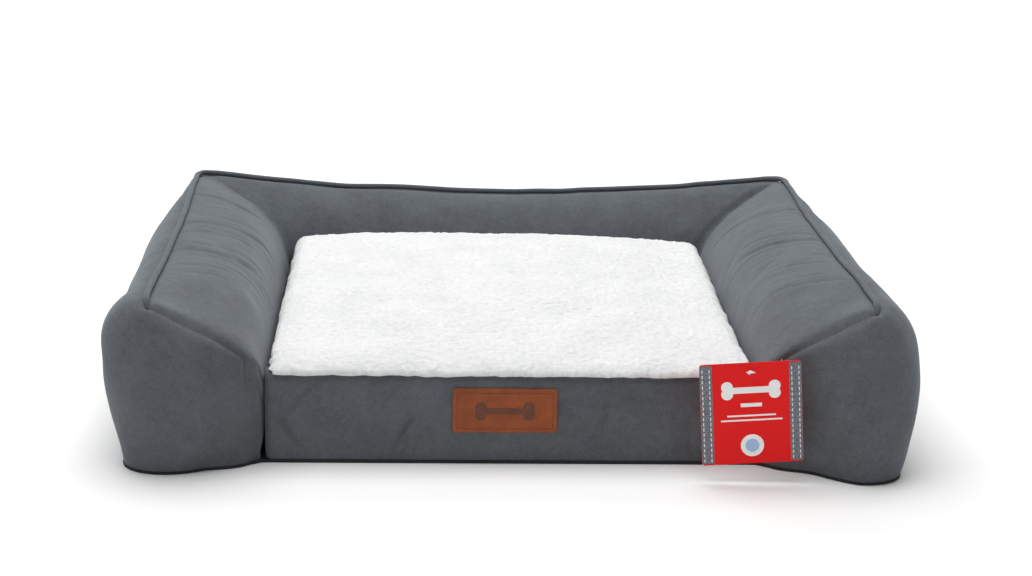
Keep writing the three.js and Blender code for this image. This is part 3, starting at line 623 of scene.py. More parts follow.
def half_outer_panel():
    """Grid of the outer cloth round the right half: columns along it, rows from foot to ridge."""
    front_rows = side_rows(SEAM_Y)
    seam = front_rows[: ROWS_TOP + 1][::-1]  # from the well side up to the ridge's front end
    ridge_y = np.linspace(SEAM_Y, RIDGE_Y, COLS_SIDE + 1)[1:]
    ridge = np.column_stack([np.full(COLS_SIDE, RIDGE_X), ridge_y, np.full(COLS_SIDE, RIDGE_Z)])
    back_x = np.linspace(RIDGE_X, 0.0, COLS_BACK // 2 + 1)[1:]
    back = np.column_stack([back_x, np.full(len(back_x), RIDGE_Y), np.full(len(back_x), RIDGE_Z)])
    top = np.vstack([seam, ridge, back])

    outline, ways = bulge_outline()
    path = along(outline)
    end_turn = path[INNER_STEPS + RIDGE_END_STEP]
    back_turn = path[INNER_STEPS + OUTER_STEPS + SIDE_STEPS - 2 + CORNER_STEPS // 2 - 1]
    keys_top = [0, ROWS_TOP, ROWS_TOP + COLS_SIDE, len(top) - 1]
    keys_path = [0.0, end_turn, back_turn, path[-1]]
    place = np.interp(np.arange(len(top)), keys_top, keys_path)
    bulge = sampled(outline, path, place)
    way = sampled(ways, path, place)
    way /= np.linalg.norm(way, axis=1)[:, None]

    side_share = smooth(way[:, 0], 0.2, 1.0)
    back_share = smooth(way[:, 1], 0.0, 1.0)
    started = smooth(place, 0.0, 45 * MM)
    end_inset = FOOT_FRONT - BULGE_FRONT
    inset = end_inset + (BULGE_X - FOOT_X - end_inset) * side_share
    inset = inset + (BULGE_BACK - FOOT_BACK - inset) * back_share
    inset = inset * started
    # The two middle heights of each column's curve: straight at the seam, fuller away from it.
    low_z = 1 / 3 + (0.30 - 1 / 3) * started + 0.14 * np.maximum(side_share, back_share)
    high_z = 2 / 3 + (0.72 - 2 / 3) * started + 0.24 * np.maximum(side_share, back_share)

    grid = np.zeros((len(top), ROWS_OUTER + 1, 3))
    rows = np.linspace(0.0, 1.0, ROWS_OUTER + 1)
    for i in range(len(top)):
        foot = np.array([*(bulge[i] - way[i] * inset[i]), FOOT_Z])
        height = top[i, 2] - FOOT_Z
        low = np.array([*(bulge[i] - way[i] * inset[i] * 0.15), FOOT_Z + height * low_z[i]])
        high_plan = (8 * bulge[i] - foot[:2] - 3 * low[:2] - top[i, :2]) / 3
        high = np.array([*high_plan, FOOT_Z + height * high_z[i]])
        if i == 0:
            high[:2] = low[:2] = foot[:2] = bulge[i]
        grid[i] = bezier(foot, low, high, top[i], rows)
    grid[0] = front_rows[ROWS_TOP:][::-1]
    return grid


def side_top_panel(grid_outer):
    """Grid of the right top panel: columns from the front seam to the mitre, rows across it."""
    ridge_y = grid_outer[ROWS_TOP : ROWS_TOP + COLS_SIDE + 1, -1, 1]
    share = (ridge_y - ridge_y[0]) / (ridge_y[-1] - ridge_y[0])
    panel = np.zeros((COLS_SIDE + 1, ROWS_PANEL + 1, 3))
    reach = mitre_y(side_rows(WELL_Y)[:, 0])
    for i, s in enumerate(share):
        panel[i] = side_rows(SEAM_Y + s * (WELL_Y - SEAM_Y))
        panel[i, :, 1] = SEAM_Y + s * (reach - SEAM_Y)
    return panel


def back_top_panel(panel_side, grid_outer):
    """Grid of the back top panel: columns from the right mitre to the left one, rows across it."""
    mitre = panel_side[-1]
    ridge_x = grid_outer[ROWS_TOP + COLS_SIDE :, -1, 0]
    share = ridge_x / ridge_x[0]
    share = np.concatenate([share, -share[::-1][1:]])
    panel = np.repeat(mitre[None], len(share), axis=0)
    panel[:, :, 0] = share[:, None] * mitre[None, :, 0]
    return panel


def stuffed(points):
    """The stuffed shape: the back ridge sags between its corners, which stand up and out a little."""
    p = points.copy()
    x, y, z = p[..., 0], p[..., 1], p[..., 2]
    share = np.clip(np.abs(x) / RIDGE_X, 0.0, 1.0)
    at_back = smooth(y, 90 * MM, WELL_Y)
    sag = BACK_SAG * (1.0 - share**2) ** 1.3 * at_back
    rise = CORNER_RISE * smooth(share, 0.75, 1.0) * smooth(y, 0.0, RIDGE_Y)
    p[..., 2] = z + (rise - sag) * (z / RIDGE_Z) ** 1.5
    side = np.sign(x)
    at_corner = smooth(y, 40 * MM, RIDGE_Y) * smooth(np.abs(x), WELL_X, RIDGE_X)
    p[..., 0] += side * CORNER_SPREAD * at_corner * smooth(z, 90 * MM, RIDGE_Z)
    p[..., 0] -= side * CORNER_SLACK * at_corner * smooth(np.abs(x), RIDGE_X, BULGE_X)
    return p


def mirrored(grid):
    """A grid of the right side as its like on the left."""
    left = grid.copy()
    left[..., 0] *= -1
    return left


def gather_creases(count, seed, deepest):
    """Cross creases of a gathered panel: place along it, depth, width, start, end, slant and phase."""
    maker = np.random.default_rng(seed)
    place = np.cumsum(maker.uniform(0.5, 1.5, count))
    place = SEAM_Y + 70 * MM + (RIDGE_Y - SEAM_Y - 70 * MM) * (place / (place[-1] + 0.8)) ** 0.82
    creases = [
        (
            place[k],
            maker.uniform(0.7, 1.7) * MM,
            maker.uniform(2.0, 3.6) * MM,
            maker.uniform(0.0, 0.25),
            maker.uniform(0.4, 1.0),
            maker.uniform(-0.05, 0.05),
            maker.uniform(0, 6.28),
        )
        for k in range(count)
    ]
    return creases + [(y, 3.4 * MM, 4.2 * MM, 0.02, end, 0.0, 1.0) for y, end in deepest]


def crease_depth(x, y, z, creases):
    """How far the creases draw the top panel in, at points of the right or left side."""
    across = np.clip((RIDGE_X - np.abs(x)) / (RIDGE_X - WELL_X), 0.0, 1.0)
    down = np.clip((RIDGE_Z - z) / RIDGE_Z, 0.0, 1.0)
    reach_share = 0.65 * across + 0.6 * down
    depth = np.zeros_like(x)
    for place, deep, wide, start, reach, slant, phase in creases:
        line = place + (slant * 60 * MM + 38 * MM) * across + 1.5 * MM * np.sin(across * 7 + phase)
        line = line - 16 * MM * smooth(reach_share, 0.55, 1.2)
        fade = smooth(across, start, start + 0.08) * (1.0 - smooth(reach_share, reach * 0.55, reach))
        depth += deep * fade * np.exp(-(((y - line) / wide) ** 2))
    return depth


GATHERS = {
    "right_top": gather_creases(30, 11, [(112 * MM, 0.9), (-30 * MM, 0.8)]),
    "left_top": gather_creases(34, 5, [(150 * MM, 0.75), (20 * MM, 0.9), (-95 * MM, 0.8)]),
}


# How far the front ends settle off the pattern.
INNER_SETTLE = 24 * MM  # back, beside the wall
FORWARD_SETTLE = {"left": 3 * MM, "right": 24 * MM}
BELLY_SETTLE = {"left": 7 * MM, "right": 13 * MM}  # outwards, at half height
SPLAY_SETTLE = {"left": 7 * MM, "right": 12 * MM}  # outwards, at the foot
SHOULDER_SETTLE = 3.5 * MM  # outwards, below the left ridge


def settled_ends(points):
    """The front ends as they settle: flush with the wall inside, the right one further out."""
    p = points.copy()
    side, y, z = np.abs(p[..., 0]), p[..., 1], p[..., 2]
    in_front = 1.0 - smooth(y, FOOT_FRONT + 15 * MM, FOOT_FRONT + 110 * MM)
    inner = 1.0 - smooth(side, WELL_X + 12 * MM, WELL_X + 80 * MM)
    low = 1.0 - 0.6 * smooth(z, 20 * MM, 140 * MM)
    turned = 1.0 - smooth(y, FOOT_FRONT + 4 * MM, FOOT_FRONT + 42 * MM)
    p[..., 1] += INNER_SETTLE * inner * low * turned * (1.0 - smooth(z, 95 * MM, 130 * MM))
    right = smooth(p[..., 0], WELL_X + 40 * MM, WELL_X + 85 * MM)
    p[..., 1] -= FORWARD_SETTLE["right"] * right * in_front * (1.0 - smooth(z, 0, 150 * MM))
    left = smooth(-p[..., 0], WELL_X + 40 * MM, WELL_X + 85 * MM)
    p[..., 1] -= FORWARD_SETTLE["left"] * left * in_front * (1.0 - smooth(z, 0, 150 * MM))
    forward = 1.0 - smooth(y, FOOT_FRONT + 30 * MM, FOOT_FRONT + 240 * MM)
    belly = forward * (1.0 - smooth(np.abs(z - 85 * MM), 0, 110 * MM))
    splay = in_front * (1.0 - smooth(z, 0, 110 * MM))
    shoulder = 1.0 - smooth(np.abs(z - 140 * MM), 0, 40 * MM)
    shoulder = shoulder * (1.0 - smooth(np.abs(y - SEAM_Y - 50 * MM), 0, 90 * MM))
    p[..., 0] += right * (BELLY_SETTLE["right"] * belly + SPLAY_SETTLE["right"] * splay)
    outwards = BELLY_SETTLE["left"] * belly + SPLAY_SETTLE["left"] * splay
    p[..., 0] -= left * (outwards + SHOULDER_SETTLE * shoulder)
    return p


def rounded_plan(points):
    """Rounds the ridge's back corners in plan, and leaves the outside below them as it is."""
    p = points.copy()
    dx = np.abs(p[..., 0]) - (RIDGE_X - RIDGE_CORNER)
    dy = p[..., 1] - (RIDGE_Y - RIDGE_CORNER)
    inside = (dx > 0) & (dy > 0)
    square = np.maximum(dx, dy)
    shrink = np.where(inside, square / np.maximum(np.hypot(dx, dy), 1e-9), 1.0)
    outside = smooth(square, RIDGE_CORNER, 2.2 * RIDGE_CORNER)
    high = smooth(p[..., 2], RIDGE_Z - 30 * MM, RIDGE_Z - 4 * MM)
    share = np.where(inside, (1.0 - outside) * np.where(square > RIDGE_CORNER, high, 1.0), 0.0)
    side = np.sign(p[..., 0])
    p[..., 0] += side * share * dx * (shrink - 1.0)
    p[..., 1] += share * dy * (shrink - 1.0)
    return p


def bolster_grids():
    """The plain pattern of all four bolster covers, before it is stuffed."""
    outer_right = half_outer_panel()
    top_right = side_top_panel(outer_right)
    top_back = back_top_panel(top_right, outer_right)
    return {
        "outer": np.concatenate([outer_right, mirrored(outer_right)[::-1][1:]]),
        "right_top": top_right,
        "back_top": top_back,
        "left_top": mirrored(top_right)[::-1],
    }


def welded(grids):
    """All grids as one cloth: its points, its faces, and where each grid's points are in it."""
    points = np.concatenate([g.reshape(-1, 3) for g in grids.values()])
    keys = np.round(points / (0.02 * MM) + 0.013).astype(np.int64)
    _, first, where = np.unique(keys, axis=0, return_index=True, return_inverse=True)
    where = where.ravel()
    faces, places, start = [], {}, 0
    for name, grid in grids.items():
        cols, rows = grid.shape[:2]
        for face in grid_faces(cols, rows, start):
            corners = [int(where[k]) for k in face]
            if len(set(corners)) > 2:
                faces.append(tuple(dict.fromkeys(corners)))
        places[name] = where[start : start + cols * rows].reshape(cols, rows)
        start += cols * rows
    return points[first], faces, places


def inflated(points, faces, slack_points, held):
    """Cloth simulation of a stuffed cover: seams are held, the cut has slack, air pushes it out."""
    piece = mesh_object("stuffed_cloth", points, faces)
    recalculate_normals(piece)
    piece.shape_key_add(name="sewn")
    slack = piece.shape_key_add(name="cut")
    slack.data.foreach_set("co", slack_points.ravel())
    slack.value = 0.0
    group = piece.vertex_groups.new(name="held")
    for weight in np.unique(np.round(held, 2)):
        if weight > 0:
            chosen = np.nonzero(np.round(held, 2) == weight)[0]
            group.add([int(k) for k in chosen], float(weight), "REPLACE")
    cloth = piece.modifiers.new("cloth", "CLOTH")
    # A backed suede: it hardly stretches, and bends in broad folds.
    settings = cloth.settings
    settings.quality = 6
    settings.mass = 0.25
    settings.tension_stiffness = 18
    settings.compression_stiffness = 18
    settings.shear_stiffness = 8
    settings.bending_stiffness = 0.35
    settings.use_pressure = True
    settings.uniform_pressure_force = STUFFING_PRESSURE
    settings.effector_weights.gravity = 0.0
    settings.vertex_group_mass = "held"
    settings.rest_shape_key = slack
    cloth.point_cache.frame_start = 1
    cloth.point_cache.frame_end = SWELL_FRAMES
    for step in range(1, SWELL_FRAMES + 1):
        bpy.context.scene.frame_set(step)
    depsgraph = bpy.context.evaluated_depsgraph_get()
    evaluated = piece.evaluated_get(depsgraph)
    result = np.empty(len(points) * 3)
    evaluated.data.vertices.foreach_get("co", result)
    result = result.reshape(-1, 3)
    bpy.data.objects.remove(piece)
    bpy.context.scene.frame_set(1)
    move = result - points
    length = np.linalg.norm(move, axis=1)[:, None]
    return points + move * np.minimum(1.0, SWELL_LIMIT / np.maximum(length, 1e-9))


def slack_cut(points):
    """The side top panels are cut longer than the seams they are gathered onto."""
    cut = points.copy()
    side = smooth(np.abs(points[:, 0]), WELL_X - 2 * MM, WELL_X + 6 * MM)
    top = side * smooth(RIDGE_X + 1 * MM - np.abs(points[:, 0]), -1 * MM, 6 * MM)
    front = points[:, 1] - SEAM_Y
    cut[:, 1] += 0.05 * top * np.clip(front, 0.0, None)
    return cut


def smooth_normals(points, faces):
    """Outward direction of the cloth at each point."""
    piece = mesh_object("cloth_normals", points, faces)
    recalculate_normals(piece)
    result = normals(piece)
    bpy.data.objects.remove(piece)
    return result


def edge_run(grid, axis, end):
    """Distance of each grid point from one edge of its grid, measured along the grid."""
    steps = np.linalg.norm(np.diff(grid, axis=axis), axis=2)
    if end:
        steps = np.flip(steps, axis)
    start = np.zeros_like(np.take(steps, [0], axis))
    run = np.concatenate([start, np.cumsum(steps, axis)], axis)
    return np.flip(run, axis) if end else run


def sewn_relief(name, grid):
    """How far the cloth of one panel is drawn in by its seams, gathers and creases."""
    x, y, z = grid[..., 0], grid[..., 1], grid[..., 2]
    ridge_run = edge_run(grid, 1, name == "outer")
    depth = RIDGE_PULL * np.exp(-((ridge_run / RIDGE_REACH) ** 2))
    if name == "outer":
        depth[:ROWS_TOP] = FRONT_PULL * np.exp(-((ridge_run[:ROWS_TOP] / FRONT_REACH) ** 2))
        depth[-ROWS_TOP:] = FRONT_PULL * np.exp(-((ridge_run[-ROWS_TOP:] / FRONT_REACH) ** 2))
        tucks = soft_noise(np.stack([x, y, z * 0.25], -1), 13 * MM, 3)
        at_front = 1.0 - smooth(y, SEAM_Y, SEAM_Y + 20 * MM)
        tuck_depth = (TUCK_DEPTHS[0] + TUCK_DEPTHS[1] * at_front) * MM * np.clip(tucks, 0, 1)
        depth += tuck_depth * np.exp(-ridge_run / (26 * MM)) * smooth(ridge_run, 0, 8 * MM)
        foot_run = edge_run(grid, 1, False)
        folds = soft_noise(np.stack([x, y, z * 0.2], -1), 18 * MM, 5)
        depth += FOLD_DEPTH * np.clip(folds, 0, 1) * np.exp(-foot_run / (22 * MM))
        depth += zip_recess(x, y, z)
    else:
        ends = {
            "right_top": (("right", True),),
            "left_top": (("left", False),),
            "back_top": (("right", False), ("left", True)),
        }
        for side, far_end in ends[name]:
            run = edge_run(grid, 0, far_end)
            below = smooth(ridge_run, 6 * MM, 22 * MM)
            depth += MITRE_PULL[side] * below * np.exp(-((run / MITRE_REACH) ** 2))
    if name in ("right_top", "left_top"):
        front_run = edge_run(grid, 0, name == "left_top")
        on_slope = smooth(z, SHOULDER_Z - 25 * MM, SHOULDER_Z)
        depth += FRONT_PULL * on_slope * np.exp(-((front_run / FRONT_REACH) ** 2))
        depth += crease_depth(x, y, z, GATHERS[name])
    if name == "back_top":
        wander = soft_noise(np.stack([x, y * 0.3, z * 0.3], -1), 26 * MM, 8)
        across = smooth(ridge_run, 0, 12 * MM) * (1 - smooth(ridge_run, 70 * MM, 130 * MM))
        depth += FOLD_DEPTH * np.clip(wander, 0, 1) * across
    return depth


def zip_recess(x, y, z):
    """The back cover turns in behind the zip."""
    at_zip = smooth(y, 250 * MM, 285 * MM) * (1 - smooth(np.abs(x), 262 * MM, 268 * MM))
    return ZIP_RECESS * at_zip * np.exp(-(((z - ZIP_Z) / ZIP_REACH) ** 4))


def build_bolsters():
    """All bolster covers as grids of points, with their outward directions."""
    flat = bolster_grids()
    sewn = {name: settled_ends(rounded_plan(stuffed(grid))) for name, grid in flat.items()}
    points, faces, places = welded(sewn)
    puffed = points
    coarse_points, coarse_faces, coarse_places = welded({k: g[::2, ::2] for k, g in sewn.items()})
    held = held_points(coarse_points, coarse_places)
    cut = slack_cut(coarse_points)
    swollen = inflated(coarse_points, coarse_faces, cut, held)
    move = swollen - coarse_points
    puffed = points.copy()
    for name, place in coarse_places.items():
        puffed[places[name].ravel()] += refined(move[place]).reshape(-1, 3)
    every_place = np.concatenate([place.ravel() for place in places.values()])
    seam_count = np.bincount(every_place, minlength=len(points))
    puffed = points + (puffed - points) / seam_count[:, None]
    puffed = softened(puffed, faces, seam_softness(points))
    way = smooth_normals(puffed, faces)
    lumps = lumpy(puffed, (1.6 * MM, 75 * MM, 1), (0.7 * MM, 28 * MM, 2))
    free = 1.0 - np.exp(-((free_run(points) / (18 * MM)) ** 2))
    shaped = puffed + way * (lumps * free)[:, None]
    depth = np.zeros(len(points))
    for name, grid in sewn.items():
        np.maximum.at(depth, places[name].ravel(), sewn_relief(name, grid).ravel())
    shaped = shaped - way * depth[:, None]
    shaped = kept_clear(shaped, points)
    done = {name: shaped[place] for name, place in places.items()}
    ways = {name: way[place] for name, place in places.items()}
    return done, ways


def softened(points, faces, weights):
    """Rounds a crease off by averaging each point with its neighbours, as much as its weight says."""
    quads = np.array([f for f in faces if len(f) == 4])
    starts = quads.ravel()
    ends = np.roll(quads, -1, 1).ravel()
    count = np.bincount(starts, minlength=len(points)) + np.bincount(ends, minlength=len(points))
    p = points.copy()
    for _ in range(SOFTENING_ROUNDS):
        total = np.zeros_like(p)
        for k in range(3):
            total[:, k] = np.bincount(starts, p[ends, k], len(p))
            total[:, k] += np.bincount(ends, p[starts, k], len(p))
        mean = total / np.maximum(count, 1)[:, None]
        p += (mean - p) * weights[:, None]
    return p


def seam_softness(points):
    """The stuffing rounds the front ends and the valleys along the mitres, the left one more."""
    x, y, z = points[:, 0], points[:, 1], points[:, 2]
    side = np.abs(x)
    mitre_length = math.hypot(RIDGE_X - WELL_X, RIDGE_Y - WELL_Y)
    off = np.abs(y - mitre_y(side)) * (RIDGE_X - WELL_X) / mitre_length
    inside = (side < RIDGE_X - 6 * MM) & (y < RIDGE_Y - 6 * MM) & (z > 40 * MM)
    near_left = 1.0 - smooth(off, 8 * MM, 42 * MM)
    near_right = 0.6 * (1.0 - smooth(off, 2 * MM, 22 * MM))
    near = np.where(x < 0, near_left, near_right)
    from_ridge = smooth(RIDGE_X - side, 6 * MM, 26 * MM) * smooth(z, 40 * MM, 90 * MM)
    mitres = np.where(inside & (y > 120 * MM), 0.9 * near * from_ridge, 0.0)
    at_front = (1.0 - smooth(y, SEAM_Y + 4 * MM, SEAM_Y + 24 * MM)) * smooth(z, 14 * MM, 40 * MM)
    ends = at_front * (0.32 + 0.35 * (1.0 - smooth(side, WELL_X + 60 * MM, WELL_X + 90 * MM)))
    return np.maximum(mitres, ends)


def refined(grid):
    """A coarse grid's values at twice its columns and rows."""
    wide = np.empty((2 * grid.shape[0] - 1, grid.shape[1], 3))
    wide[::2] = grid
    wide[1::2] = (grid[:-1] + grid[1:]) / 2
    full = np.empty((wide.shape[0], 2 * grid.shape[1] - 1, 3))
    full[:, ::2] = wide
    full[:, 1::2] = (wide[:, :-1] + wide[:, 1:]) / 2
    return full


def free_run(points):
    """Distance from the foot, where the cover is sewn to the base and to the back's hardware."""
    foot = points[:, 2] - FOOT_Z
    at_zip = (points[:, 1] > WELL_Y + 40 * MM) & (np.abs(points[:, 0]) < 300 * MM)
    return np.where(at_zip, np.clip(points[:, 2] - 48 * MM, 0.0, None), foot)


def held_points(points, places):
    """How firmly each point is held while the covers swell: seams, feet and the cloth at the zip."""
    held = np.zeros(len(points))
    held[points[:, 2] < FOOT_Z + 1 * MM] = 1.0
    held[places["outer"][:, -1]] = 1.0
    held[places["right_top"][-1, :]] = 0.9
    held[places["left_top"][0, :]] = 0.9
    held[places["right_top"][0, :]] = 1.0
    held[places["left_top"][-1, :]] = 1.0
    held[(points[:, 1] > WELL_Y + 40 * MM) & (points[:, 2] < 56 * MM)] = 1.0
    return held


def kept_clear(points, before):
    """Keeps the well sides off the cushion, and the back at its zip where the zip is."""
    p = points.copy()
    side = np.sign(p[:, 0])
    on_side = (np.abs(before[:, 0]) > WELL_X - 1 * MM) & (before[:, 1] > FOOT_FRONT + 30 * MM)
    limit = WELL_X - 1.2 * MM
    p[:, 0] = np.where(on_side & (np.abs(p[:, 0]) < limit), side * limit, p[:, 0])
    on_back = before[:, 1] > WELL_Y - 1 * MM
    p[:, 1] = np.where(on_back & (p[:, 1] < WELL_Y - 1.5 * MM), WELL_Y - 1.5 * MM, p[:, 1])
    return p


def panel_piece(name, grid, ways, material, nodes):
    """One sewn panel: its grid as cloth with thickness, faces outwards."""
    cols, rows = grid.shape[:2]
    faces = grid_faces(cols, rows)
    piece = mesh_object(name, grid.reshape(-1, 3), faces)
    first = normals(piece)
    if np.sum(first * ways.reshape(-1, 3)) < 0:
        piece.data.flip_normals()
    subdivide(piece)
    thicken(piece, CLOTH)
    piece.data.materials.append(material)
    piece.data.shade_smooth()
    piece.data.set_sharp_from_angle(angle=math.radians(50))
    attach(piece, "bed")
    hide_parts(*nodes)


def split_outer(grid):
    """The outer cloth is sewn from three pieces, which meet at the back corners."""
    corner = ROWS_TOP + COLS_SIDE
    last = len(grid) - 1 - corner
    return grid[: corner + 1], grid[corner : last + 1], grid[last:]


# ---------------------------------------------------------------- the bolsters' pieces


def sew_bolsters(suede):
    """Sews every bolster panel and the piping; gives the line of the covers' feet."""
    grids, ways = build_bolsters()
    outer_parts = split_outer(grids["outer"])
    outer_ways = split_outer(ways["outer"])
    outer_names = ("right_outer_cloth", "back_outer_cloth", "left_outer_cloth")
    outer_nodes = ("right_outer_panel", "back_outer_panel", "left_outer_panel")
    for part, way, name, node in zip(outer_parts, outer_ways, outer_names, outer_nodes):
        panel_piece(name, part, way, suede, [node])
    for side in ("right", "left", "back"):
        nodes = [f"{side}_top_panel", f"{side}_bolster_fill"]
        panel_piece(f"{side}_top_cloth", grids[f"{side}_top"], ways[f"{side}_top"], suede, nodes)
    sew_piping(grids["outer"][:, -1], suede)
    return grids["outer"][:, 0]


def sew_piping(ridge, suede):
    """Self-fabric piping on the ridge seam, its ends tucked in at the bolsters' fronts."""
    path = ridge[ROWS_TOP - 1 : len(ridge) - ROWS_TOP + 1].copy()
    run = along(path)
    even = np.arange(0.0, run[-1], 2.2 * MM)
    path = sampled(path, run, even)
    for _ in range(4):
        path[1:-1] = (path[:-2] + 2 * path[1:-1] + path[2:]) / 4
    path[:, 2] += RIDGE_PULL * 0.8
    wobble = soft_noise(path, 40 * MM, 4)
    radii = PIPING_RADIUS * (1.02 + 0.07 * wobble)
    ends = np.minimum(even, even[-1] - even)
    radii *= 0.6 + 0.4 * smooth(ends, 0, 10 * MM)
    path[:, 2] -= 3.5 * MM * (1 - smooth(ends, 0, 12 * MM))
    cord = tube("ridge_piping_cloth", path, radii, 14, suede)
    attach(cord, "bed")
    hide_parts("ridge_piping")


# ---------------------------------------------------------------- front wall


# Creases in the wall's cloth: x, z, slope, length and depth.
WALL_CREASES = [
    (-102 * MM, 36 * MM, math.radians(62), 18 * MM, 5.0 * MM),
    (-88 * MM, 22 * MM, math.radians(75), 12 * MM, 3.0 * MM),
    (92 * MM, 50 * MM, math.radians(80), 28 * MM, 3.6 * MM),
    (205 * MM, 62 * MM, math.radians(128), 30 * MM, 4.4 * MM),
    (-208 * MM, 60 * MM, math.radians(52), 30 * MM, 3.6 * MM),
    (-216 * MM, 34 * MM, math.radians(118), 24 * MM, 6.0 * MM),
    (176 * MM, 18 * MM, math.radians(100), 18 * MM, 2.6 * MM),
]
CREASE_WIDTH = 2.8 * MM
WALL_SWELL = 3.0 * MM  # how far the stuffing pushes the face out
WALL_COLUMNS = 240
WALL_RADIUS = 12 * MM
WALL_END = 9 * MM  # the wall's ends are rounded over this length


def wall_face(x, z):
    """How far the front wall's face stands forward of its flat pattern, at places on it."""
    low, high = wall_box
    across = np.clip(1.0 - (np.abs(x) / high.x) ** 4, 0.0, 1.0)
    up = np.clip((z - low.z) / (high.z - low.z), 0.0, 1.0)
    swell = WALL_SWELL * across * np.sin(np.pi * np.clip(up * 0.96 + 0.04, 0, 1)) ** 0.7
    spot = np.stack([x, np.zeros_like(x), z], -1)
    lumps = lumpy(spot, (1.5 * MM, 60 * MM, 21), (0.5 * MM, 20 * MM, 22))
    creases = np.zeros_like(x)
    for cx, cz, slope, length, deep in WALL_CREASES:
        dx, dz = x - cx, z - cz
        alongside = dx * math.cos(slope) + dz * math.sin(slope)
        off = -dx * math.sin(slope) + dz * math.cos(slope)
        bend = off + 0.12 * alongside**2 / length
        creases += deep * np.exp(-((bend / CREASE_WIDTH) ** 2)) * np.exp(-((alongside / length) ** 2))
    return swell + lumps * across - creases * across**0.25


def sew_front_wall(suede):
    """The stuffed front wall: a rounded profile along the front, its face swollen and creased."""
    low, high = wall_box
    front, back, foot, top = low.y, high.y, low.z, high.z
    radius = WALL_RADIUS
    up = np.linspace(foot, top - radius, 32)
    arc = np.linspace(0, math.pi / 2, 8)[1:]
    turn = [(radius * (1 - math.cos(a)), top - radius * (1 - math.sin(a))) for a in arc]
    profile = [(front, z) for z in up]
    profile += [(front + inwards, z) for inwards, z in turn]
    profile += [(y, top) for y in np.linspace(front + radius, back - radius, 4)[1:]]
    profile += [(back - inwards, z) for inwards, z in turn[::-1][1:]]
    profile.append((back, top - radius))
    profile += [(back, z) for z in up[::-1][1:]]
    profile += [(y, foot) for y in np.linspace(back, front, 8)[1:-1]]
    profile = np.array(profile)
    xs = high.x * np.linspace(-1, 1, WALL_COLUMNS)
    rows = len(profile)
    middle = np.array([(front + back) / 2, (foot + top) / 2])
    points = np.zeros((len(xs), rows, 3))
    for i, x in enumerate(xs):
        close = np.clip((high.x - abs(x)) / WALL_END, 0, 1)
        pinch = 1.0 - 0.5 * (1 - math.sqrt(1 - (1 - close) ** 2)) if close < 1 else 1.0
        ring = middle + (profile - middle) * np.array([pinch, 0.86 + 0.14 * pinch])
        ring[:, 1] = np.maximum(ring[:, 1], foot)
        points[i, :, 0] = x
        points[i, :, 1:] = ring
    face = wall_face(points[..., 0], points[..., 2])
    on_front = 1 - smooth(points[..., 1], front + 2 * MM, front + radius)
    above = smooth(points[..., 2], foot, foot + 14 * MM)
    points[..., 1] -= face * on_front * above
    wall = mesh_object("front_wall_cloth", points.reshape(-1, 3), capped_faces(len(xs), rows))
    recalculate_normals(wall)
    subdivide(wall)
    wall.data.materials.append(suede)
    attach(wall, "bed")
    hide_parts("front_wall_cover", "front_wall_fill")


# ---------------------------------------------------------------- base


# The profile of the base cloth's edge, in millimetres: how far out from the seam, and how high.
# Partly painted shade: the dark turned-up rim also stands for the shade along the bed's foot.
BASE_EDGE_AND_FOOT_SHADE = (
    (-3.0, 0.0),
    (0.2, 0.0),
    (0.7, 0.5),
    (0.9, 1.4),
    (0.9, 2.6),
    (0.4, 3.0),
    (-0.8, 2.6),
    (-3.0, 2.2),
)
BASE_STEPS = 620


def lay_base(foot, nonslip):
    """Base cloth under the whole bed: its edge is turned up and sewn to the covers' feet, and its dark
    rim is partly painted shade along the foot.
    """
    across = np.linspace(foot[-1][0], foot[0][0], 40)[1:-1]
    front = np.column_stack([across, np.full(len(across), wall_box[0].y)])
    ring = np.concatenate([foot[:, :2], front])
    closed = np.vstack([ring, ring[:1]])
    run = along(closed)
    ring = sampled(closed, run, np.linspace(0, run[-1], BASE_STEPS, endpoint=False))
    ahead, behind = np.roll(ring, -1, 0), np.roll(ring, 1, 0)
    way = ahead - behind
    out = np.column_stack([way[:, 1], -way[:, 0]])
    out /= np.linalg.norm(out, axis=1)[:, None]
    if np.sum(out * (ring - ring.mean(0))) < 0:
        out = -out
    rows = len(BASE_EDGE_AND_FOOT_SHADE)
    points = np.zeros((len(ring), rows, 3))
    for j, (outset, height) in enumerate(BASE_EDGE_AND_FOOT_SHADE):
        points[:, j, :2] = ring + out * outset * MM
        points[:, j, 2] = height * MM
    faces = grid_faces(len(ring), rows, wrap_cols=True)
    faces.append(tuple(i * rows for i in range(len(ring))))
    faces.append(tuple(i * rows + rows - 1 for i in range(len(ring) - 1, -1, -1)))
    base = closed_piece("base_cloth_nonslip_and_foot_shade", points.reshape(-1, 3), faces, nonslip)
    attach(base, "bed")
    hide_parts("base_panel")


# ---------------------------------------------------------------- cushion


def rounded_rectangle(half_x, half_y, radius, steps):
    """Outline points of a rounded rectangle round the origin, evenly spaced, counter-clockwise."""
    corners = []
    for k, (sx, sy) in enumerate(((1, 1), (-1, 1), (-1, -1), (1, -1))):
        for a in np.linspace(0, math.pi / 2, 12):
            angle = a + k * math.pi / 2
            x = sx * (half_x - radius) + radius * math.cos(angle)
            y = sy * (half_y - radius) + radius * math.sin(angle)
            corners.append((x, y))
    corners.append(corners[0])
    ring = np.array(corners)
    run = along(ring)
    return sampled(ring, run, np.linspace(0, run[-1], steps, endpoint=False))


CORNER_POWER = 60.0  # how square the pile's corners are in plan


def rounded_square(u, v):
    """Rounds the corners of a grid on [-1, 1], keeping its middle even."""
    long = np.maximum(np.abs(u), np.abs(v))
    norm = (np.abs(u) ** CORNER_POWER + np.abs(v) ** CORNER_POWER) ** (1 / CORNER_POWER)
    share = np.where(norm > 1e-9, long / np.maximum(norm, 1e-9), 1.0)
    keep = long**6
    return u * (1 + (share - 1) * keep), v * (1 + (share - 1) * keep)


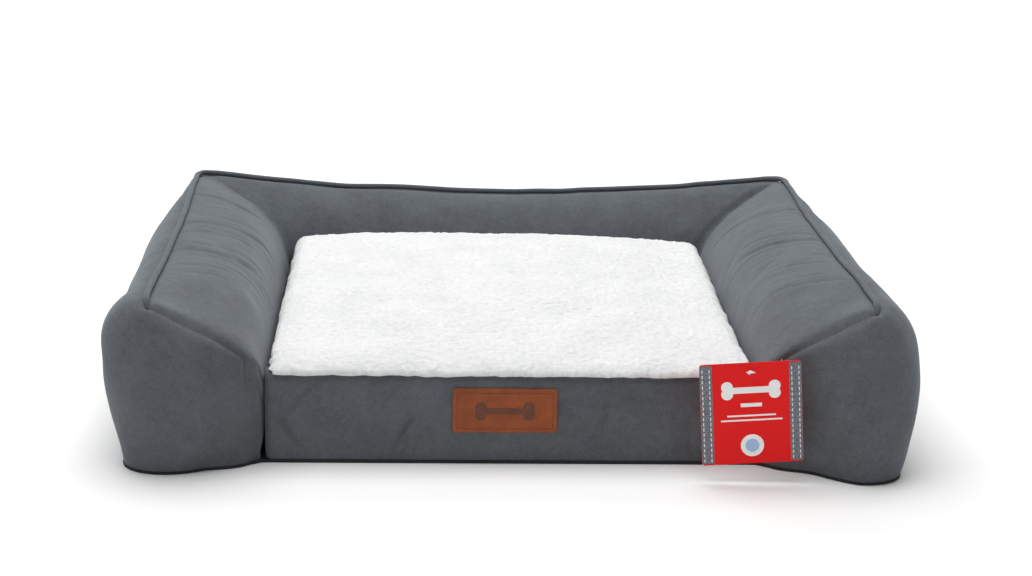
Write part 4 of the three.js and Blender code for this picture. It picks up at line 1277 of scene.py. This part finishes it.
PILE_EDGE = 8.9 * MM  # height of the pile's edge in front
PILE_RISE = 13.8 * MM  # and how much higher it is at the back
PILE_LEFT_RISE = 4 * MM  # the back left corner stands higher
PILE_CROWN = 9 * MM
PILE_OVERHANG = 6 * MM  # the pile stands this far over the front wall's edge
PILE_DROOP = 3.5 * MM  # and hangs this far below the wall's top there
PILE_SHIFT = 4 * MM  # the back of the cushion lies a little to the right
PILE_INSET = 1.5 * MM  # tufts fill the rest of the cover's plan
PILE_ROLL = 14 * MM  # the pile turns down over this far from its edge


def pile_height(x, y):
    """Top of the pile over the cushion, before its tufts."""
    low, high = pile_box
    half_x = high.x
    middle, half_y = (low.y + high.y) / 2, (high.y - low.y) / 2
    across = 1 - np.clip(np.abs(x) / half_x, 0, 1) ** 2
    forward = np.clip((y - middle) / half_y, -1, 1)
    rise = (forward + 1) / 2
    edge = low.z + PILE_EDGE + PILE_RISE * rise
    left_rise = PILE_LEFT_RISE * np.clip(-x / half_x, 0, 1) * rise
    back_crown = PILE_CROWN * across * rise
    middle_crown = PILE_CROWN * across * (1 - forward**2)
    return edge + left_rise + back_crown + middle_crown


def pile_surface(cols, rows):
    """Points of the pile's top, and how far each droops over the front wall."""
    low, high = pile_box
    middle = (low.y + high.y) / 2
    u, v = np.meshgrid(np.linspace(-1, 1, cols), np.linspace(-1, 1, rows), indexing="ij")
    gx, gy = rounded_square(u, v)
    x = gx * (high.x - PILE_INSET)
    y = middle + gy * ((high.y - low.y) / 2 - PILE_INSET)
    y = y - PILE_OVERHANG * smooth(-gy, 0.85, 1.0)
    from_edge = np.minimum((1 - np.abs(u)) * high.x, (1 - np.abs(v)) * (high.y - low.y) / 2)
    z = pile_height(x, y)
    round_edge = 1 - np.clip(from_edge / PILE_ROLL, 0, 1)
    roll = 1 - np.sqrt(np.clip(1 - round_edge**2, 0, 1))
    z = z - roll * (z - (low.z + 1 * MM)) * 0.8
    droop = PILE_DROOP * smooth(-gy, 0.86, 0.995)
    z = z - droop
    x = x + PILE_SHIFT * smooth(gy, -0.6, 1.0)
    spot = np.stack([x, y, np.zeros_like(x)], -1)
    dents = lumpy(spot, (2.6 * MM, 90 * MM, 31), (1.2 * MM, 38 * MM, 32))
    calm = smooth(from_edge, 0, 30 * MM)
    tufts = 1.3 * MM * np.abs(soft_noise(spot, 7 * MM, 33))
    tufts += 0.9 * MM * np.abs(soft_noise(spot, 3.6 * MM, 34))
    z = z + dents * calm - tufts
    pull = soft_noise(spot, 9 * MM, 35) * 1.4 * MM + soft_noise(spot, 4 * MM, 36) * 0.8 * MM
    near = 1 - smooth(from_edge, 0, 12 * MM)
    x = x + np.sign(u) * pull * near * (np.abs(u) > 0.9)
    y = y + np.sign(v) * pull * near * (np.abs(v) > 0.9)
    return np.stack([x, y, z], -1).reshape(-1, 3), droop.reshape(-1)


def lay_cushion(sherpa):
    """The cushion's sherpa top, with its ragged rim and its flat underside."""
    low, high = pile_box
    cols = 330
    rows = int(cols * (high.y - low.y) / (high.x - low.x))
    points, droop = pile_surface(cols, rows)
    faces = grid_faces(cols, rows)
    rim = rim_of_grid(cols, rows)
    rim_low = points[rim].copy()
    ragged = 1.0 * MM * soft_noise(rim_low, 11 * MM, 37)
    rim_low[:, 2] = low.z - (droop[rim] + ragged) * (rim_low[:, 1] < wall_box[0].y)
    start = len(points)
    points = np.concatenate([points, rim_low])
    count = len(rim)
    for k in range(count):
        n = (k + 1) % count
        faces.append((rim[n], rim[k], start + k, start + n))
    faces.append(tuple(start + k for k in range(count)))
    pile = closed_piece("cushion_sherpa_top", points, faces, sherpa)
    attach(pile, "cushion")
    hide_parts("cushion_top_cover", "cushion_fill")


def lay_tray(lining):
    """The cushion's lower cover: a tray with soft edges, its sides drawn in between corners."""
    low, high = tray_box
    half_x, half_y = (high.x - low.x) / 2, (high.y - low.y) / 2
    middle = (high.y + low.y) / 2
    steps = 360
    plan = rounded_rectangle(half_x, half_y, 18 * MM, steps)
    # Each ring's size and height as shares; the sides are drawn in a little half way up.
    levels = [(0.0, 0.0), (0.55, 0.0), (0.93, 0.0), (0.985, 0.02)]
    levels += [(1.0 - 0.010 * math.sin(math.pi * t), t) for t in np.linspace(0.07, 0.97, 12)]
    levels += [(0.985, 1.0), (0.9, 1.0), (0.5, 1.0), (0.0, 1.0)]
    points = []
    for scale, share in levels:
        ring = plan * max(scale, 1e-4)
        spot = np.column_stack([ring, np.full(steps, share * 0.05)])
        pucker = 0.6 * MM * soft_noise(spot, 22 * MM, 41)
        norm = np.linalg.norm(ring, axis=1)[:, None]
        ring = ring - ring / np.maximum(norm, 1e-9) * np.clip(pucker, 0, 1)[:, None]
        height = low.z + share * (high.z - low.z)
        points.append(np.column_stack([ring[:, 0], ring[:, 1] + middle, np.full(steps, height)]))
    points = np.array(points).reshape(-1, 3)
    tray = closed_piece("cushion_tray_cloth", points, capped_faces(len(levels), steps), lining)
    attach(tray, "cushion")
    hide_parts("cushion_base_cover")


# ---------------------------------------------------------------- leather patch


def bone_outline(length, height):
    """A plain bone shape, as a ring of points round the origin."""
    knob = height * 0.31
    bar = height * 0.17
    cx = length / 2 - knob
    cy = height / 2 - knob
    meet = math.asin(min(1.0, (cy - bar) / knob)) if cy > bar else 0.0
    quarter = []
    notch = math.acos(min(1.0, cy / knob))
    for a in np.linspace(-math.pi / 2 + notch, math.pi + meet, 18):
        quarter.append((cx + knob * math.cos(a), cy + knob * math.sin(a)))
    quarter = [p for p in quarter if p[1] >= 0]
    top = quarter + [(-x, y) for x, y in reversed(quarter)]
    return np.array(top + [(x, -y) for x, y in reversed(top)])


def inside_outline(points, ring):
    """Which points lie inside a closed ring."""
    x, y = points[..., 0], points[..., 1]
    result = np.zeros(x.shape, bool)
    for (x1, y1), (x2, y2) in zip(ring, np.roll(ring, -1, 0)):
        crosses = (y1 > y) != (y2 > y)
        slope = (x2 - x1) / (y2 - y1) if y2 != y1 else 0.0
        result ^= crosses & (x < x1 + slope * (y - y1))
    return result


PATCH_RADIUS = 3 * MM
PATCH_THICKNESS = 1.8 * MM
PATCH_UNDER = 0.4 * MM  # the patch is sewn this far into the wall's soft face
RULE_INSET = 4.2 * MM  # the pressed rule, from the patch's edge
RULE_HALF_WIDTH = 0.45 * MM
BONE_SIZE = (58 * MM, 19 * MM)
BONE_DEPTH = 0.55 * MM
RULE_DEPTH = 0.35 * MM
PATCH_GRID = (203, 89)


def patch_plan(half_x, half_z, cols, rows):
    """A grid over the patch, pulled in at the corners to round them."""
    across, up = np.linspace(-half_x, half_x, cols), np.linspace(-half_z, half_z, rows)
    u, v = np.meshgrid(across, up, indexing="ij")
    straight_x, straight_z = half_x - PATCH_RADIUS, half_z - PATCH_RADIUS
    past_x = np.abs(u) - half_x + PATCH_RADIUS
    past_z = np.abs(v) - half_z + PATCH_RADIUS
    over = np.hypot(np.clip(past_x, 0, None), np.clip(past_z, 0, None))
    outside = over > PATCH_RADIUS
    pull = np.where(outside, PATCH_RADIUS / np.maximum(over, 1e-9), 1.0)
    u = np.where(outside, np.sign(u) * (straight_x + past_x * pull), u)
    v = np.where(outside, np.sign(v) * (straight_z + past_z * pull), v)
    return u, v


def sew_patch(leather, pressed):
    """Pressed leather patch that lies on the stuffed front wall."""
    low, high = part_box("leather_patch")
    cx, cz = (low.x + high.x) / 2, (low.z + high.z) / 2
    half_x, half_z = (high.x - low.x) / 2, (high.z - low.z) / 2
    cols, rows = PATCH_GRID
    u, v = patch_plan(half_x, half_z, cols, rows)
    spot = np.stack([u, v], -1)
    bone = inside_outline(spot, bone_outline(*BONE_SIZE))
    rule_x, rule_z = half_x - RULE_INSET, half_z - RULE_INSET
    off = np.maximum(np.abs(u) - rule_x, np.abs(v) - rule_z)
    rule = np.abs(off) < RULE_HALF_WIDTH
    edge = np.minimum(half_x - np.abs(u), half_z - np.abs(v))
    worn = 0.5 * MM * (1 - smooth(edge, 0, 1.2 * MM))
    sink = BONE_DEPTH * bone + RULE_DEPTH * rule + worn
    face = low.y + PATCH_THICKNESS - wall_face(cx + u, cz + v)
    swell = 0.25 * MM * soft_noise(np.stack([u, v, 0 * u], -1), 26 * MM, 51)
    front = np.stack([cx + u, face - PATCH_THICKNESS + sink - swell, cz + v], -1)
    back = np.stack([cx + u, face + PATCH_UNDER, cz + v], -1)
    points = np.concatenate([front.reshape(-1, 3), back.reshape(-1, 3)])
    count = cols * rows
    faces = grid_faces(cols, rows) + grid_faces(cols, rows, count, flip=True)
    rim = rim_of_grid(cols, rows)
    for here, onwards in zip(rim, rim[1:] + rim[:1]):
        faces.append((onwards, here, here + count, onwards + count))
    patch = closed_piece("leather_patch_pressed", points, faces, leather, pressed)
    dark = (bone | rule).reshape(-1)
    for polygon in patch.data.polygons:
        if all(k < count and dark[k] for k in polygon.vertices):
            polygon.material_index = 1
    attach(patch, "bed")
    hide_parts("leather_patch")


# ---------------------------------------------------------------- swing tag


def flat_shape(bm, outline, depth_front, depth_back, material_index, hole=None):
    """A flat shape between two depths, with or without a hole; outline in the card's x and z."""
    front = [bm.verts.new((x, depth_front, z)) for x, z in outline]
    back = [bm.verts.new((x, depth_back, z)) for x, z in outline]
    made = []
    if hole is None:
        made.append(bm.faces.new(front))
        made.append(bm.faces.new(back[::-1]))
    else:
        front_hole = [bm.verts.new((x, depth_front, z)) for x, z in hole]
        back_hole = [bm.verts.new((x, depth_back, z)) for x, z in hole]
        for outer, inner in ((front, front_hole), (back, back_hole)):
            edges = []
            for ring in (outer, inner):
                for k in range(len(ring)):
                    edges.append(bm.edges.new((ring[k], ring[(k + 1) % len(ring)])))
            filled = bmesh.ops.triangle_fill(bm, use_beauty=True, use_dissolve=False, edges=edges)
            made += [f for f in filled["geom"] if isinstance(f, bmesh.types.BMFace)]
        for k in range(len(front_hole)):
            n = (k + 1) % len(front_hole)
            made.append(bm.faces.new((front_hole[k], front_hole[n], back_hole[n], back_hole[k])))
    for k in range(len(front)):
        n = (k + 1) % len(front)
        made.append(bm.faces.new((front[n], front[k], back[k], back[n])))
    for face in made:
        face.material_index = material_index


def box_ring(x0, x1, z0, z1):
    """Corners of an upright rectangle."""
    return [(x0, z0), (x1, z0), (x1, z1), (x0, z1)]


def disc_ring(x, z, radius, count=40):
    """Points of an upright circle."""
    turn = np.linspace(0, 2 * math.pi, count, endpoint=False)
    return [(x + radius * math.cos(a), z + radius * math.sin(a)) for a in turn]


TAG_TILT = math.radians(4.5)  # the card hangs a little askew on its filament
TAG_CORNER = 3 * MM
TAG_HOLE = 2.5 * MM
TAG_STRIP = 11.5 * MM  # width of each printed strip
TAG_MARGIN = 0.2 * MM  # bare card beside the strips
STITCH = (0.8 * MM, 3.2 * MM)  # width and length of a printed stitch
STITCH_STEP = 5.2 * MM
# Plain bars: place up the card as a share of its height, width and thickness.
TAG_BARS = ((0.565, 20 * MM, 3.6 * MM), (0.47, 46 * MM, 1.6 * MM), (0.425, 58 * MM, 1.6 * MM))
TAG_BONE = (56 * MM, 18 * MM)
BONE_PLACE, BADGE_PLACE = 0.73, 0.18
BADGE_RADII = (11 * MM, 6.5 * MM)
RED, WHITE, DENIM, BLUE = range(4)  # the card's materials


def tag_place():
    """The frame of the tag's hinge: x across the card, y towards its back, z up."""
    joint = {j["name"]: j for j in frame["record"]["behaviour"]["joints"]}["tag_swing"]
    axis = Vector(joint["axis"])
    x_way = Vector((-axis.x, -axis.y, 0)).normalized()
    y_way = Vector((0, 0, 1)).cross(x_way)
    place = Matrix((x_way, y_way, Vector((0, 0, 1)))).transposed().to_4x4()
    place.translation = Vector(joint["pos_m"])
    return place


def tag_outline(low, high):
    """The card's outline in its own x and z, with rounded corners."""
    r = TAG_CORNER
    left, foot, right, top = low.x + r, low.z + r, high.x - r, high.z - r
    outline = []
    for cx, cz, start in ((right, top, 0), (left, top, 90), (left, foot, 180), (right, foot, 270)):
        for a in np.radians(start + np.linspace(0, 90, 7)):
            outline.append((cx + r * math.cos(a), cz + r * math.sin(a)))
    return outline


def print_tag(bm, low, high):
    """What is printed on the card: two strips like stitched cloth, a bone, bars and a badge."""
    height = high.z - low.z
    ink = low.y - 0.06 * MM
    sunk = low.y + 0.05 * MM
    over, over_sunk = ink - 0.05 * MM, ink + 0.02 * MM  # a second layer, on the first
    wide, long = STITCH
    for x0 in (low.x + TAG_MARGIN, high.x - TAG_MARGIN - TAG_STRIP):
        strip = box_ring(x0, x0 + TAG_STRIP, low.z + 1.4 * MM, high.z - 1.4 * MM)
        flat_shape(bm, strip, ink, sunk, DENIM)
        for z in np.arange(low.z + 3 * MM, high.z - 5 * MM, STITCH_STEP):
            for inset in (2.0 * MM, TAG_STRIP - 2.8 * MM):
                stitch = box_ring(x0 + inset, x0 + inset + wide, z, z + long)
                flat_shape(bm, stitch, over, over_sunk, WHITE)
    bone = [(x, low.z + BONE_PLACE * height + z) for x, z in bone_outline(*TAG_BONE)]
    flat_shape(bm, bone, ink, sunk, WHITE)
    for share, width, thick in TAG_BARS:
        z = low.z + height * share
        flat_shape(bm, box_ring(-width / 2, width / 2, z, z + thick), ink, sunk, WHITE)
    badge_z = low.z + BADGE_PLACE * height
    flat_shape(bm, disc_ring(0, badge_z, BADGE_RADII[0]), ink, sunk, WHITE)
    flat_shape(bm, disc_ring(0, badge_z, BADGE_RADII[1]), over, over_sunk, BLUE)


def hang_tag(*materials):
    """Printed card on its filament, with a punched hole; it swings at the hole."""
    node = frame["nodes"]["hang_tag"]
    place = tag_place()
    spots = [place.inverted() @ v.co for v in node.data.vertices]
    low = Vector([min(s[k] for s in spots) for k in range(3)])
    high = Vector([max(s[k] for s in spots) for k in range(3)])
    bm = bmesh.new()
    hole = disc_ring(0, -TAG_HOLE, TAG_HOLE, 28)
    flat_shape(bm, tag_outline(low, high), low.y, high.y, RED, hole)
    print_tag(bm, low, high)
    bmesh.ops.recalc_face_normals(bm, faces=bm.faces)
    mesh = bpy.data.meshes.new("hang_tag_card")
    bm.to_mesh(mesh)
    bm.free()
    for material in materials:
        mesh.materials.append(material)
    tag = placed_object("hang_tag_card", mesh)
    tag.matrix_world = place @ Matrix.Rotation(-TAG_TILT, 4, "Y")
    bpy.context.view_layer.update()
    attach(tag, "swing_tag")
    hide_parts("hang_tag")


# ---------------------------------------------------------------- zip


COIL_PITCH = 1.6 * MM
COIL_WIRE = 0.36 * MM  # radius of the nylon wire
COIL_FLAT = 0.9  # the turns fill this share of the coil's box
STEPS_PER_TURN = 10


def wind_coil(node_name, name, nylon):
    """One row of nylon coil: turns laid side by side along the tape's edge."""
    low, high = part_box(node_name)
    wire = COIL_WIRE
    centre_y, centre_z = (low.y + high.y) / 2, (low.z + high.z) / 2
    half_y = COIL_FLAT * (high.y - low.y) / 2 - wire
    half_z = COIL_FLAT * (high.z - low.z) / 2 - wire
    turns = int((high.x - low.x - 2 * wire) / COIL_PITCH)
    steps = turns * STEPS_PER_TURN
    angle = np.linspace(0, 2 * math.pi * turns, steps)
    x = np.linspace(low.x + wire, high.x - wire, steps)
    y = centre_y + half_y * np.cos(angle)
    z = centre_z + half_z * np.sin(angle)
    coil = tube(name, np.column_stack([x, y, z]), wire, 6, nylon)
    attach(coil, "bed")
    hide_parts(node_name)


# ---------------------------------------------------------------- care label


LABEL_GRID = (30, 42)
LABEL_THICKNESS = 0.5 * MM


def sew_label(satin):
    """A plain satin label, hemmed and sewn flat to the back cover."""
    low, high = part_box("care_label")
    cols, rows = LABEL_GRID
    xs = np.linspace(low.x, high.x, cols)
    zs = np.linspace(low.z, high.z, rows)
    depsgraph = bpy.context.evaluated_depsgraph_get()
    under = ("back_outer_cloth", "left_outer_cloth")
    covers = [bpy.data.objects[name].evaluated_get(depsgraph) for name in under]
    front = np.zeros((cols, rows, 3))
    for i, x in enumerate(xs):
        for j, z in enumerate(zs):
            hits = []
            for piece in covers:
                hit, spot, _, _ = piece.ray_cast(Vector((x, high.y + 0.05, z)), Vector((0, -1, 0)))
                if hit:
                    hits.append(spot.y)
            front[i, j] = (x, (max(hits) if hits else low.y) + 0.2 * MM, z)
    for _ in range(3):
        front[1:-1, :, 1] = (front[:-2, :, 1] + 2 * front[1:-1, :, 1] + front[2:, :, 1]) / 4
        front[:, 1:-1, 1] = (front[:, :-2, 1] + 2 * front[:, 1:-1, 1] + front[:, 2:, 1]) / 4
    u = np.minimum(np.arange(cols), np.arange(cols)[::-1])[:, None]
    v = np.minimum(np.arange(rows), np.arange(rows)[::-1])[None]
    hem = np.minimum(u, v)
    front[..., 1] += 0.35 * MM + 0.3 * MM * ((hem >= 1) & (hem <= 2)) - 0.15 * MM * (hem == 3)
    label = mesh_object("care_label_satin", front.reshape(-1, 3), grid_faces(cols, rows))
    recalculate_normals(label)
    if label.data.polygons[0].normal.y < 0:
        label.data.flip_normals()
    thicken(label, LABEL_THICKNESS)
    label.data.materials.append(satin)
    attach(label, "bed")
    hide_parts("care_label")


# ---------------------------------------------------------------- studio


CAMERA_LENS = 74.57
SENSOR_WIDTH = 36.0
CAMERA_PLACE = (-0.107, -2.205, 0.707)
CAMERA_TURN = np.radians((3.19, 15.17, 1.37))  # to the right, down, and tilted clockwise


def aim_camera():
    data = bpy.data.cameras.new("studio_camera")
    data.lens = CAMERA_LENS
    data.sensor_width = SENSOR_WIDTH
    camera = placed_object("studio_camera", data)
    yaw, pitch, roll = CAMERA_TURN
    flat = math.cos(pitch)
    forward = Vector((math.sin(yaw) * flat, math.cos(yaw) * flat, -math.sin(pitch)))
    level = Vector((math.cos(yaw), -math.sin(yaw), 0))
    above = level.cross(forward)
    right = level * math.cos(roll) + above * math.sin(roll)
    up = above * math.cos(roll) - level * math.sin(roll)
    turn = Matrix((right, up, -forward)).transposed().to_4x4()
    turn.translation = Vector(CAMERA_PLACE)
    camera.matrix_world = turn
    bpy.context.scene.camera = camera


def area_light(name, place, target, size, power):
    """A white softbox aimed at a target."""
    data = bpy.data.lights.new(name, "AREA")
    data.shape = "RECTANGLE"
    data.size, data.size_y = size
    data.energy = power
    lamp = placed_object(name, data)
    lamp.location = place
    lamp.rotation_euler = (Vector(target) - Vector(place)).to_track_quat("-Z", "Y").to_euler()


def set_studio():
    scene = bpy.context.scene
    scene.view_settings.view_transform = "Standard"
    world = bpy.data.worlds.new("studio_world")
    world.use_nodes = True
    background = world.node_tree.nodes["Background"]
    background.inputs["Color"].default_value = srgb("ffffff")
    background.inputs["Strength"].default_value = 0.2
    scene.world = world
    bm = bmesh.new()
    bmesh.ops.create_grid(bm, x_segments=2, y_segments=2, size=9.0)
    mesh = bpy.data.meshes.new("studio_floor")
    bm.to_mesh(mesh)
    bm.free()
    floor = placed_object("studio_floor", mesh)
    floor.location.z = -0.2 * MM
    mesh.materials.append(painted_floor())
    area_light("overhead_softbox", (-0.4, 0.1, 3.2), (0, 0, 0), (3.6, 3.2), 118)
    area_light("front_fill", (0.5, -3.6, 1.7), (0, 0, 0.1), (2.4, 1.4), 7)
    area_light("far_floor_softbox", (0, 5.6, 3.4), (0, 5.6, 0), (12.0, 5.0), 430)


# ---------------------------------------------------------------- assembly


def give_node(name, material):
    """Gives one of the frame's own solids its material."""
    node = frame["nodes"][name]
    if not node.material_slots:
        node.data.materials.append(material)
    for k in range(len(node.material_slots)):
        node.material_slots[k].material = material


aim_camera()
set_studio()

suede = brushed_microsuede()
sherpa = knitted_sherpa()
lining = woven_polyester("woven_polyester_lining", "4c5053", "35383b", 3.2 * MM, 0.9)
zip_tape_cloth = woven_polyester("woven_polyester_tape", "3b3e41", "191b1d", 0.7 * MM, 0.75)
coil_nylon = moulded_nylon("moulded_nylon_coil", "303234", "1e2022", 0.4)
tack_nylon = moulded_nylon("moulded_nylon_tack", "f4f4f4", "d8d8d8", 0.35)
enamel = enamelled_zinc()
satin = woven_satin()

foot_line = sew_bolsters(suede)
lay_base(foot_line, needled_base_cloth())
sew_front_wall(suede)
lay_cushion(sherpa)
lay_tray(lining)
sew_patch(saddle_leather(), pressed_leather())
hang_tag(
    printed_card("printed_card_red", "f20a0c", "e80709", 0.8 * MM, 0.5),
    printed_card("printed_card_white", "fbfbfa", "f4f4f2", 0.8 * MM, 0.4),
    printed_card("printed_card_denim", "8a9097", "50565d", 1.1 * MM, 0.45),
    printed_card("printed_card_blue", "b4cdee", "9dbbe4", 0.8 * MM, 0.4),
)
wind_coil("zip_coil_upper", "zip_coil_upper_wound", coil_nylon)
wind_coil("zip_coil_lower", "zip_coil_lower_wound", coil_nylon)
sew_label(satin)

for tape in ("zip_tape_upper", "zip_tape_lower"):
    give_node(tape, zip_tape_cloth)
for metal in ("zip_stop_left", "zip_stop_right", "zip_slider", "zip_pull"):
    give_node(metal, enamel)
give_node("tag_tack", tack_nylon)
